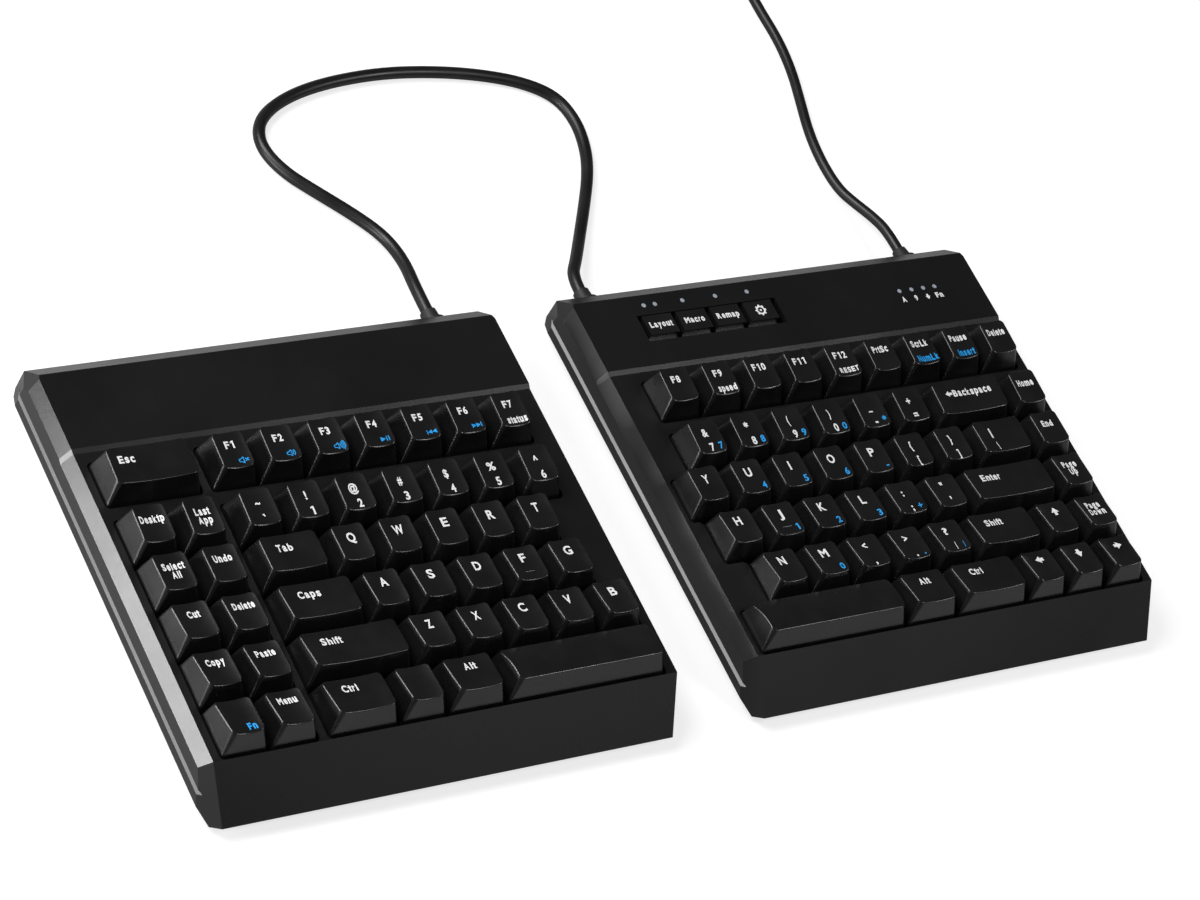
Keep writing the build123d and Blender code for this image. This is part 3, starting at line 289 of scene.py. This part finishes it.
looks = {
    "case_plastic": {"colour": (0.0075, 0.0075, 0.0079), "grain": 2600.0, "clouds": 26.0, "variation": 0.16,
                     "roughness": (0.26, 0.33), "bump": 0.3, "ior": 1.6},
    "keycap_plastic": {"colour": (0.0065, 0.0065, 0.0068), "grain": 3000.0, "clouds": 90.0, "variation": 0.18,
                       "roughness": (0.25, 0.33), "bump": 0.14, "ior": 1.65},
    "button_plastic": {"colour": (0.0085, 0.0085, 0.0088), "grain": 3000.0, "clouds": 80.0, "variation": 0.12,
                       "roughness": (0.26, 0.33), "bump": 0.2, "ior": 1.6},
    "switch_plate": {"colour": (0.30, 0.30, 0.31), "grain": 1800.0, "clouds": 40.0, "variation": 0.12,
                     "roughness": (0.3, 0.45), "bump": 0.25, "metallic": 1.0},
    "circuit_board": {"colour": (0.012, 0.07, 0.03), "grain": 900.0, "clouds": 160.0, "variation": 0.3,
                      "roughness": (0.3, 0.5), "bump": 0.3},
    "switch_housing": {"colour": (0.02, 0.02, 0.021), "grain": 2400.0, "clouds": 120.0, "variation": 0.15,
                       "roughness": (0.4, 0.55), "bump": 0.2},
    "stabiliser": {"colour": (0.025, 0.025, 0.025), "grain": 2400.0, "clouds": 120.0, "variation": 0.15,
                   "roughness": (0.35, 0.5), "bump": 0.2},
    "screw_steel": {"colour": (0.42, 0.42, 0.43), "grain": 3500.0, "clouds": 300.0, "variation": 0.12,
                    "roughness": (0.25, 0.4), "bump": 0.15, "metallic": 1.0},
    "foot_rubber": {"colour": (0.022, 0.022, 0.022), "grain": 1400.0, "clouds": 120.0, "variation": 0.25,
                    "roughness": (0.7, 0.85), "bump": 0.5},
    "gland_rubber": {"colour": (0.016, 0.016, 0.016), "grain": 1800.0, "clouds": 150.0, "variation": 0.2,
                     "roughness": (0.5, 0.62), "bump": 0.35},
    "cable_sheath": {"colour": (0.009, 0.009, 0.0094), "grain": 1600.0, "clouds": 70.0, "variation": 0.2,
                     "roughness": (0.32, 0.44), "bump": 0.25},
    "plug_moulding": {"colour": (0.016, 0.016, 0.0165), "grain": 2200.0, "clouds": 90.0, "variation": 0.15,
                      "roughness": (0.38, 0.5), "bump": 0.3},
    "plug_metal": {"colour": (0.62, 0.62, 0.63), "grain": 2600.0, "clouds": 140.0, "variation": 0.08,
                   "roughness": (0.18, 0.32), "bump": 0.1, "metallic": 1.0},
    "indicator_lens": {"colour": (0.36, 0.40, 0.46), "grain": 1500.0, "clouds": 400.0, "variation": 0.12,
                       "roughness": (0.25, 0.4), "bump": 0.15},
    "whiteInk": {"colour": (0.94, 0.94, 0.94), "grain": 4000.0, "clouds": 700.0, "variation": 0.06,
                 "roughness": (0.45, 0.6), "bump": 0.1},
    "blueInk": {"colour": (0.02, 0.34, 0.80), "grain": 4000.0, "clouds": 700.0, "variation": 0.08,
                "roughness": (0.45, 0.6), "bump": 0.1},
}
materials = {name: grainMaterial(name, look) for name, look in looks.items()}

slotOfNode = {part["node"]: part["material_slot"] for part in frame["record"]["subparts"]}
for nodeName, node in nodes.items():
    node.data.materials.clear()
    node.data.materials.append(materials[slotOfNode[nodeName]])
for cord in (bridge, usb):
    cord.data.materials.append(materials["cable_sheath"])
print("materials assigned")


# legends

keyGrid = {
    "pitch": 19.05,
    "leftOrigin": -159.91,
    "rightOrigin": -104.54,
    "hotKeyGap": 3.0,
    "numberRowY": 12.314,
    "rowUnits": {"function": 1.25, "number": 0, "upper": -1, "home": -2, "lower": -3, "bottom": -4},
    "rim": 19.0,
}
capForm = {
    "gap": 1.0,
    "height": {"function": 10.3, "number": 10.3, "upper": 10.2, "home": 9.95, "lower": 10.2, "bottom": 10.4},
    "tilt": {"function": 3, "number": 3, "upper": -1, "home": -6, "lower": -9, "bottom": -10},
    "sideSlope": 0.285,
    "frontSlope": 0.36,
    "dish": 1.0,
    "wideDish": 0.7,
}
legendStyle = {
    "lift": 0.09,          # over the cap's dish
    "mainY": {"function": 3.6, "number": 3.1, "upper": 3.4, "home": 3.9, "lower": 4.1, "bottom": 4.5},
    "secondY": -3.0,
    "lineStep": 3.4,       # from a word's first line down to its second
    "letter": 3.8,
    "digit": 3.35,
    "word": 2.95,
    "tight": 2.85,
    "long": 2.95,
    "reset": 2.25,
    "blueDigit": 2.85,
    "button": 2.55,
    "lock": 2.45,
    # half the weight added to the font's own, in letter sizes
    "boldness": {"letter": 0.029, "digit": 0.031, "word": 0.034, "tight": 0.042, "long": 0.036, "reset": 0.04,
                 "blueDigit": 0.026, "button": 0.047, "lock": 0.047},
    # how wide the letters are set, over a bold grotesque's own widths
    "widthShare": {"letter": 0.95, "digit": 0.95, "word": 0.93, "tight": 0.73, "long": 0.87, "reset": 0.85,
                   "blueDigit": 0.95, "button": 0.9, "lock": 0.95},
}


def capSurface(row, units, x, y):
    # a plane that tilts about the front edge, with a circular trough along Y cut into it
    width = units * keyGrid["pitch"] - capForm["gap"]
    height = capForm["height"][row]
    sag = capForm["dish"] if units == 1 else capForm["wideDish"]
    half = width / 2 - capForm["sideSlope"] * height
    radius = (half**2 + sag**2) / (2 * sag)
    frontY = -(keyGrid["pitch"] - capForm["gap"]) / 2 + capForm["frontSlope"] * height
    slope = math.tan(math.radians(capForm["tilt"][row]))
    return keyGrid["rim"] + height + (y - frontY) * slope - sag + x**2 / (2 * radius)


# Widths of a bold grotesque, in thousandths of its em
letterWidths = {
    238: "'", 278: "Iijl,./\\|", 333: "ft()[]-:;`!", 389: "r*{}", 474: "\"", 500: "z",
    556: "Jaceksvxy0123456789#$_", 584: "+=<>^~", 611: "FLTZbdghnopqu?", 667: "EPSVXY",
    722: "ABCDHKNRU&", 778: "GOQw", 833: "M", 889: "m%", 944: "W", 975: "@",
}
widthOf = {letter: width / 1000 for width, group in letterWidths.items() for letter in group}
letterSetting = {
    "capital": 0.716,      # capital height over the em
    "fontCapital": 0.682,  # the same in the built-in font
    "bearing": 0.065,      # bare space at each side, in ems
    "unstretched": ",.:;'\"`*!-1tf",
    "low": "acegmnopqrsuvwxyz",
    "lowRise": 1.14,       # letters with no ascender are drawn taller than the font has them
    "curveSteps": 4,
    "rimFloor": -1e-5,     # faces from here up belong to the front and its half of the rim
}
glyphCache = {}


def glyph(letter, boldness):
    # flat mesh of one letter, one unit high from its base line: the font's face and the upper half
    # of the rim around it, which makes it bolder
    if letter in drawnLetters:
        return drawnLetters[letter]
    key = (letter, boldness)
    if key in glyphCache:
        return glyphCache[key]
    curve = bpy.data.curves.new("legendText", "FONT")
    curve.body = letter
    curve.size = 1.0
    curve.bevel_depth = boldness
    curve.bevel_resolution = 0
    curve.resolution_u = letterSetting["curveSteps"]
    curve.fill_mode = "FRONT"
    writing = bpy.data.objects.new("legendText", curve)
    scene.collection.objects.link(writing)
    bpy.context.view_layer.update()
    mesh = bpy.data.meshes.new_from_object(writing.evaluated_get(bpy.context.evaluated_depsgraph_get()))
    corners = np.empty(len(mesh.vertices) * 3)
    mesh.vertices.foreach_get("co", corners)
    corners = corners.reshape(-1, 3)
    mesh.calc_loop_triangles()
    faces = np.empty(len(mesh.loop_triangles) * 3, np.int32)
    mesh.loop_triangles.foreach_get("vertices", faces)
    faces = faces.reshape(-1, 3)
    faces = faces[(corners[faces][:, :, 2] > letterSetting["rimFloor"]).all(1)]
    corners = (corners[:, :2] + [0, boldness]) / (letterSetting["fontCapital"] + 2 * boldness)
    bpy.data.objects.remove(writing)
    bpy.data.curves.remove(curve)
    bpy.data.meshes.remove(mesh)
    used, faces = np.unique(faces, return_inverse=True)
    glyphCache[key] = (corners[used], faces.reshape(-1, 3))
    return glyphCache[key]


def wordShape(words, size):
    # letters side by side, each one stretched to its own width, the capitals as tall as the size says
    height = legendStyle[size]
    em = height / letterSetting["capital"]
    share = legendStyle["widthShare"][size]
    shapes, reach = [], 0
    for letter in words:
        corners, faces = glyph(letter, legendStyle["boldness"][size])
        corners = (corners - [corners[:, 0].min(), 0]) * height
        if letter in letterSetting["low"]:
            corners[:, 1] *= letterSetting["lowRise"]
        cell = widthOf[letter] * em * share
        if letter in letterSetting["unstretched"]:
            corners[:, 0] *= share
        else:
            corners[:, 0] *= (cell - 2 * letterSetting["bearing"] * em * share) / np.ptp(corners[:, 0])
        corners[:, 0] += reach + (cell - np.ptp(corners[:, 0])) / 2
        shapes.append((corners, faces))
        reach += cell
    corners, faces = joinShapes(shapes)
    return corners - [reach / 2, height / 2], faces


def fanShape(outline):
    # a closed convex or star-shaped outline, filled from its middle
    outline = np.array(outline, float)
    corners = np.vstack([outline, outline.mean(0)])
    count = len(outline)
    index = np.arange(count)
    return corners, np.stack([index, (index + 1) % count, np.full(count, count)], 1)


def strokeShape(points, width):
    # a band of even width along a line: each point stands off to both sides, at right angles to its run
    points = np.array(points, float)
    run = np.gradient(points, axis=0)
    run /= np.linalg.norm(run, axis=1)[:, None]
    side = np.stack([-run[:, 1], run[:, 0]], 1) * width / 2
    corners = np.vstack([points - side, points + side])
    count = len(points)
    index = np.arange(count - 1)
    first = np.stack([index, index + 1, index + 1 + count], 1)
    second = np.stack([index, index + 1 + count, index + count], 1)
    return corners, np.vstack([first, second])


def joinShapes(shapes):
    # several shapes as one, each one's faces counted on from the corners before it
    corners, faces, start = [], [], 0
    for points, triangles in shapes:
        corners.append(points)
        faces.append(triangles + start)
        start += len(points)
    return np.vstack(corners), np.vstack(faces)


def arcPoints(centre, radius, first, last, count=9):
    # points of a circle between two angles in degrees: centre plus radius times cosine and sine
    angle = np.radians(np.linspace(first, last, count))
    return np.stack([centre[0] + radius * np.cos(angle), centre[1] + radius * np.sin(angle)], 1)


# Letters whose flag or cross bar the font leaves out or draws short, as parts side by side
crossBar = [
    fanShape([(0, 0.57), (0.14, 0.57), (0.14, 0.73), (0, 0.73)]),
    fanShape([(0.35, 0.57), (0.49, 0.57), (0.49, 0.73), (0.35, 0.73)]),
]
drawnLetters = {
    "t": joinShapes([
        fanShape([(0.14, 0), (0.35, 0), (0.35, 0.95), (0.14, 0.9)]),
        fanShape([(0.35, 0), (0.48, 0), (0.48, 0.15), (0.35, 0.15)]),
        *crossBar,
    ]),
    "f": joinShapes([
        fanShape([(0.14, 0), (0.35, 0), (0.35, 0.84), (0.14, 0.84)]),
        fanShape([(0.14, 0.84), (0.49, 0.84), (0.49, 1), (0.3, 1), (0.18, 0.95)]),
        *crossBar,
    ]),
    "1": joinShapes([
        fanShape([(0.2, 0), (0.42, 0), (0.42, 1), (0.2, 1)]),
        fanShape([(0.2, 1), (0.0, 0.86), (0.0, 0.71), (0.2, 0.8)]),
    ]),
}

# Line widths of the signs, in mm
signStroke = {"horn": 0.34, "wave": 0.3, "cross": 0.36, "bar": 0.35}
# Numbers of the gear sign, its sizes as shares of its radius
gearForm = {"teeth": 8, "stepsPerTooth": 8, "root": 0.8, "hole": 0.52, "dot": 0.2}


def speakerSign(waves, crossed=False):
    # an outlined horn, arcs at even distances for its waves, or two crossed lines
    horn = [(-1.9, -0.5), (-1.2, -0.5), (-0.2, -1.2), (-0.2, 1.2), (-1.2, 0.5), (-1.9, 0.5), (-1.9, -0.5)]
    shapes = [strokeShape(horn[i:i + 2], signStroke["horn"]) for i in range(len(horn) - 1)]
    for i in range(waves):
        shapes.append(strokeShape(arcPoints((-0.6, 0), 1.1 + 0.55 * i, -42, 42), signStroke["wave"]))
    if crossed:
        shapes.append(strokeShape([(0.4, -0.55), (1.6, 0.55)], signStroke["cross"]))
        shapes.append(strokeShape([(0.4, 0.55), (1.6, -0.55)], signStroke["cross"]))
    return joinShapes(shapes)


def playSign():
    # a triangle and two upright bars
    return joinShapes([
        fanShape([(-2.0, -0.95), (0.0, 0.0), (-2.0, 0.95)]),
        strokeShape([(0.35, -0.95), (0.35, 0.95)], signStroke["bar"]),
        strokeShape([(1.2, -0.95), (1.2, 0.95)], signStroke["bar"]),
    ])


def skipSign(direction):
    # two triangles and a bar, mirrored for the way back
    corners, faces = joinShapes([
        fanShape([(-1.9, -0.9), (-0.2, 0.0), (-1.9, 0.9)]),
        fanShape([(-0.2, -0.9), (1.5, 0.0), (-0.2, 0.9)]),
        strokeShape([(1.7, -0.9), (1.7, 0.9)], signStroke["bar"]),
    ])
    if direction < 0:
        corners = corners * [-1, 1]
        faces = faces[:, ::-1]
    return corners, faces


def arrowSign(degrees, size, stem=1.4):
    # a triangle with a stem behind it that points along X, turned to its heading
    turn = math.radians(degrees)
    corners, faces = joinShapes([
        fanShape([(-0.2, -1.5), (1.9, 0.0), (-0.2, 1.5)]),
        fanShape([(-stem, -0.62), (-0.2, -0.62), (-0.2, 0.62), (-stem, 0.62)]),
    ])
    spin = np.array([[math.cos(turn), math.sin(turn)], [-math.sin(turn), math.cos(turn)]])
    return corners @ spin * size, faces


def gearSign(radius):
    # a ring whose outer edge steps in and out once for each tooth, with a round dot inside
    angle = np.linspace(0, 2 * math.pi, gearForm["teeth"] * gearForm["stepsPerTooth"], endpoint=False)
    circle = np.stack([np.cos(angle), np.sin(angle)], 1)
    reach = np.where(np.cos(angle * gearForm["teeth"]) > 0, radius, radius * gearForm["root"])
    outer = circle * reach[:, None]
    inner = circle * radius * gearForm["hole"]
    count = len(angle)
    index = np.arange(count)
    after = (index + 1) % count
    ring = np.vstack([
        np.stack([index, after, after + count], 1),
        np.stack([index, after + count, index + count], 1),
    ])
    return joinShapes([(np.vstack([outer, inner]), ring), fanShape(circle * radius * gearForm["dot"])])


arrowSize = 1.12
signs = {
    "mute": speakerSign(0, crossed=True),
    "quiet": speakerSign(2),
    "loud": speakerSign(4),
    "play": playSign(),
    "back": skipSign(-1),
    "forward": skipSign(1),
    "up": arrowSign(90, arrowSize),
    "left": arrowSign(180, arrowSize),
    "down": arrowSign(270, arrowSize),
    "right": arrowSign(0, arrowSize),
    "backArrow": arrowSign(180, 0.85, 1.9),
    "gear": gearSign(2.5),
    "smallDown": arrowSign(270, 0.75),
}


def white(mark, along, size="word", line="main"):
    return (mark, along, line, size, "white")


def blue(mark, along, size="blueDigit", line="second"):
    return (mark, along, line, size, "blue")


def oneMark(row, units, mark, along, size="tight"):
    return (row, units, 1.0, [white(mark, along, size)])


def letters(row, first, marks, blues=""):
    # neighbouring keys with a letter each, and a blue mark where blues has one
    keys = []
    for i, letter in enumerate(marks):
        second = [blue(blues[i], 3.9)] if blues[i:i + 1].strip() else []
        keys.append((row, first + i, 1.0, [white(letter, 0.1, "letter")] + second))
    return keys


def pairs(row, first, marks, blues="", blueAlong=3.8):
    # neighbouring keys with an upper and a lower mark each, and a blue one where blues has one
    keys = []
    for i, (upper, lower) in enumerate(marks):
        second = [blue(blues[i], blueAlong)] if blues[i:i + 1].strip() else []
        keys.append((row, first + i, 1.0, [
            white(upper, -0.2, "digit"), white(lower, 0.3, "digit", "second")] + second))
    return keys


def functionKeys(first, number, seconds):
    # neighbouring keys named F and a number, each with its list of second marks
    return [
        ("function", first + i, 1.0, [white("F" + str(number + i), -0.3)] + second)
        for i, second in enumerate(seconds)
    ]


def systemKey(units, mark, second=()):
    return ("function", units, 1.0, [white(mark, 0.0, "tight")] + [blue(word, 0.9, "tight") for word in second])


def twoLines(row, units, upper, lower):
    return (row, units, 1.0, [white(upper, 0.0, "tight"), white(lower, 0.2, "tight", "middle")])


def wideKey(row, units, width, word, along):
    return [(row, units, width, [white(word, along)])]


mediaSigns = ("*mute", "*quiet", "*loud", "*play", "*back", "*forward")
# Each key: row, middle in key units, width in units, and its marks as text or sign, place along the row,
# line, size and ink
legendKeys = {
    "esc_key": wideKey("function", -1.0, 2.0, "Esc", -9.0),
    "left_function_keys": functionKeys(
        0.5, 1, [[blue(sign, 2.8, "sign")] for sign in mediaSigns] + [[white("status", 0.9, "tight", "second")]]),
    "outer_hot_keys": [
        oneMark("number", -1.5, "Desktp", -0.2),
        twoLines("upper", -1.5, "Select", "All"),
        oneMark("home", -1.5, "Cut", 0.2),
        oneMark("lower", -1.5, "Copy", 0.2),
        ("bottom", -1.5, 1.0, [blue("Fn", 2.3, "tight")]),
    ],
    "inner_hot_keys": [
        twoLines("number", -0.5, "Last", "App"),
        oneMark("upper", -0.5, "Undo", 0.0),
        oneMark("home", -0.5, "Delete", 0.2),
        oneMark("lower", -0.5, "Paste", 0.2),
        oneMark("bottom", -0.5, "Menu", 0.2),
    ],
    "left_number_keys": pairs("number", 0.5, ["~`", "!1", "@2", "#3", "$4", "%5", "^6"]),
    "tab_key": wideKey("upper", 0.75, 1.5, "Tab", -2.6),
    "left_upper_letter_keys": letters("upper", 2.0, "QWERT"),
    "caps_lock_key": wideKey("home", 0.875, 1.75, "Caps", -3.4),
    "left_home_letter_keys": letters("home", 2.25, "ASDFG"),
    "left_shift_key": wideKey("lower", 1.125, 2.25, "Shift", -8.2),
    "left_lower_letter_keys": letters("lower", 2.75, "ZXCVB"),
    "left_control_key": wideKey("bottom", 0.75, 1.5, "Ctrl", -2.4),
    "left_alt_key": wideKey("bottom", 3.125, 1.25, "Alt", 0.0),
    "right_function_keys": functionKeys(
        7.5, 8, [[], [white("speed", 0.9, "tight", "second")], [], [], [white("RESET", 0.9, "reset", "second")]]),
    "system_keys": [
        systemKey(12.5, "PrtSc"),
        systemKey(13.5, "ScrLk", ["NumLk"]),
        systemKey(14.5, "Pause", ["Insert"]),
        systemKey(15.5, "Delete"),
    ],
    "right_number_keys": pairs("number", 7.5, ["&7", "*8", "(9", ")0", "_-", "+="], "7890*", 4.0),
    "backspace_key": [("number", 14.0, 2.0, [white("*backArrow", -9.3, "sign"), white("Backspace", 1.9, "long")])],
    "right_upper_letter_keys": letters("upper", 7.0, "YUIOP", " 456-") + pairs("upper", 12.0, ["{[", "}]"]),
    "backslash_key": [("upper", 14.25, 1.5, [white("|", -4.6, "digit"), white("\\", -4.2, "digit", "second")])],
    "right_home_letter_keys": letters("home", 7.25, "HJKL", " 123") + pairs("home", 11.25, [":;", "\"'"], "+"),
    "enter_key": wideKey("home", 13.875, 2.25, "Enter", -8.0),
    "right_lower_letter_keys":
        letters("lower", 7.75, "NM", " 0") + pairs("lower", 9.75, ["<,", ">.", "?/"], " ./"),
    "right_shift_key": wideKey("lower", 13.125, 1.75, "Shift", -3.6),
    "up_arrow_key": [oneMark("lower", 14.5, "*up", 0.8, "sign")],
    "navigation_keys": [
        oneMark("number", 15.5, "Home", 0.0),
        oneMark("upper", 15.5, "End", 0.0),
        twoLines("home", 15.5, "Page", "Up"),
        twoLines("lower", 15.5, "Page", "Down"),
    ],
    "right_alt_key": wideKey("bottom", 10.625, 1.25, "Alt", 0.0),
    "right_control_key": wideKey("bottom", 12.125, 1.75, "Ctrl", -4.2),
    "lower_arrow_keys": [
        oneMark("bottom", 13.5 + i, mark, 0.8, "sign") for i, mark in enumerate(("*left", "*down", "*right"))
    ],
}


def markShape(mark, size):
    # a star before a name means a sign, and a star alone is a letter
    if mark.startswith("*") and len(mark) > 1:
        return signs[mark[1:]]
    return wordShape(mark, size)


def legendMesh(name, marks):
    # one flat mesh with both inks from marks that are corners in mm, faces and an ink
    corners, faces, inks, start = [], [], [], 0
    for points, triangles, ink in marks:
        corners.append(points)
        faces.append(triangles + start)
        inks.append(np.full(len(triangles), 0 if ink == "white" else 1, np.int32))
        start += len(points)
    corners, faces, inks = np.vstack(corners) * mm, np.vstack(faces), np.concatenate(inks)
    a, b, c = corners[faces[:, 0]], corners[faces[:, 1]], corners[faces[:, 2]]
    down = np.cross(b - a, c - a)[:, 2] < 0
    faces[down] = faces[down][:, ::-1]    # every face looks up
    mesh = bpy.data.meshes.new(name)
    mesh.from_pydata(corners.tolist(), [], faces.tolist())
    mesh.materials.append(materials["whiteInk"])
    mesh.materials.append(materials["blueInk"])
    mesh.polygons.foreach_set("material_index", inks)
    mesh.update()
    piece = bpy.data.objects.new(name, mesh)
    scene.collection.objects.link(piece)
    return piece


def keyLegend(nodeName, keys):
    # marks laid on the caps: across from the shape, up from the cap's own surface
    origin = keyGrid["leftOrigin"] if nodes[nodeName].bound_box[0][0] < 0 else keyGrid["rightOrigin"]
    marks = []
    for row, units, width, marksOfKey in keys:
        gap = keyGrid["hotKeyGap"] if units < 0 else 0
        keyX = origin + units * keyGrid["pitch"] - gap
        keyY = keyGrid["numberRowY"] + keyGrid["rowUnits"][row] * keyGrid["pitch"]
        for mark, along, line, size, ink in marksOfKey:
            points, triangles = markShape(mark, size)
            main = legendStyle["mainY"][row]
            lineY = {
                "main": main, "second": legendStyle["secondY"], "middle": main - legendStyle["lineStep"],
            }[line]
            x = points[:, 0] + along
            y = points[:, 1] + lineY
            z = capSurface(row, width, x, y) + legendStyle["lift"]
            marks.append((np.stack([x + keyX, y + keyY, z], 1), triangles, ink))
    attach(legendMesh(nodeName + "_legend", marks), nodeName + "_body")


for nodeName, keys in legendKeys.items():
    keyLegend(nodeName, keys)
print("key legends printed:", len(legendKeys))


# deck legends

deckMarks = {
    "buttonX": (51.0, 66.55, 82.1, 97.65),
    "buttonY": 69.16,
    "buttonTop": 21.5,
    "buttonWords": ("Layout", "Macro", "Remap", "*gear"),
    "buttonNodes": ("layout_button", "macro_button", "remap_button", "settings_button"),
    "lockX": (164.8, 170.8, 176.6, 182.3),
    "lockY": 64.9,
    "lockWords": ("A", "9", "*smallDown", "Fn"),
    "deckTop": 21.7,
    "lift": 0.04,    # over the button tops and the deck
}


def deckLegend(mark, size, x, y, z):
    points, triangles = markShape(mark, size)
    return np.column_stack([points[:, 0] + x, points[:, 1] + y, np.full(len(points), z)]), triangles, "white"


for x, words, nodeName in zip(deckMarks["buttonX"], deckMarks["buttonWords"], deckMarks["buttonNodes"]):
    mark = deckLegend(words, "button", x, deckMarks["buttonY"], deckMarks["buttonTop"] + deckMarks["lift"])
    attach(legendMesh(nodeName + "_legend", [mark]), nodeName + "_body")
lockMarks = [
    deckLegend(words, "lock", x, deckMarks["lockY"], deckMarks["deckTop"] + deckMarks["lift"])
    for x, words in zip(deckMarks["lockX"], deckMarks["lockWords"])
]
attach(legendMesh("lock_light_legend", lockMarks), "case")
print("deck legends printed")


# floor, backdrop and light

studio = {
    "floorSize": 6.0,
    "floorColour": (0.5, 0.5, 0.5),
    "floorRoughness": (0.8, 0.95),
    "floorGrain": 40.0,
    "floorGlow": 0.7,    # seen by the camera alone
    "world": 0.06,
    "sky": {"place": (-0.86, 0.66, 1.02), "aim": (0, 0.02, 0), "size": (0.95, 0.8), "power": 20.0},
    "right": {"place": (0.80, -0.50, 1.08), "aim": (0.05, -0.03, 0.02), "size": (0.34, 0.3), "power": 5.0},
    "left": {"place": (-0.62, 0.085, 0.08), "aim": (-0.2, 0.02, 0.03), "size": (0.34, 0.1), "power": 2.0},
    "front": {"place": (0.75, -0.85, 0.77), "aim": (0.0, 0.0, 0.02), "size": (0.8, 0.6), "power": 0.7},
}


def makeFloor(setup):
    half = setup["floorSize"] / 2
    mesh = bpy.data.meshes.new("floor")
    corners = [(-half, -half, 0), (half, -half, 0), (half, half, 0), (-half, half, 0)]
    mesh.from_pydata(corners, [], [(0, 1, 2, 3)])
    floor = bpy.data.objects.new("floor", mesh)
    scene.collection.objects.link(floor)
    material = bpy.data.materials.new("paleFloor")
    material.use_nodes = True
    tree = material.node_tree
    shader = tree.nodes["Principled BSDF"]
    noise = tree.nodes.new("ShaderNodeTexNoise")
    noise.inputs["Scale"].default_value = setup["floorGrain"]
    ramp = tree.nodes.new("ShaderNodeMapRange")
    ramp.inputs["To Min"].default_value, ramp.inputs["To Max"].default_value = setup["floorRoughness"]
    place = tree.nodes.new("ShaderNodeTexCoord")
    tree.links.new(place.outputs["Object"], noise.inputs["Vector"])
    tree.links.new(noise.outputs["Fac"], ramp.inputs["Value"])
    tree.links.new(ramp.outputs["Result"], shader.inputs["Roughness"])
    shader.inputs["Base Color"].default_value = (*setup["floorColour"], 1)
    shader.inputs["Specular IOR Level"].default_value = 0.0
    path = tree.nodes.new("ShaderNodeLightPath")
    glow = tree.nodes.new("ShaderNodeMath")
    glow.operation = "MULTIPLY"
    glow.inputs[1].default_value = setup["floorGlow"]
    tree.links.new(path.outputs["Is Camera Ray"], glow.inputs[0])
    tree.links.new(glow.outputs[0], shader.inputs["Emission Strength"])
    shader.inputs["Emission Color"].default_value = (1, 1, 1, 1)
    mesh.materials.append(material)


def makeWorld(strength):
    world = bpy.data.worlds.new("studioWorld")
    scene.world = world
    world.use_nodes = True
    tree = world.node_tree
    background = tree.nodes["Background"]
    path = tree.nodes.new("ShaderNodeLightPath")
    mix = tree.nodes.new("ShaderNodeMapRange")    # white to the camera, dimmer as light
    mix.inputs["To Min"].default_value = strength
    mix.inputs["To Max"].default_value = 1.0
    tree.links.new(path.outputs["Is Camera Ray"], mix.inputs["Value"])
    tree.links.new(mix.outputs["Result"], background.inputs["Strength"])
    background.inputs["Color"].default_value = (1, 1, 1, 1)


def softLamp(name, setup):
    data = bpy.data.lights.new(name, "AREA")
    data.shape = "RECTANGLE"
    data.size, data.size_y = setup["size"]
    data.energy = setup["power"]
    lamp = bpy.data.objects.new(name, data)
    scene.collection.objects.link(lamp)
    place = Vector(setup["place"])
    turn = (Vector(setup["aim"]) - place).to_track_quat("-Z", "Y").to_matrix().to_4x4()
    lamp.matrix_world = Matrix.Translation(place) @ turn
    lamp.visible_camera = False


makeFloor(studio)
makeWorld(studio["world"])
for lampName in ("sky", "right", "left", "front"):
    softLamp(lampName + "Lamp", studio[lampName])
print("floor and light set")
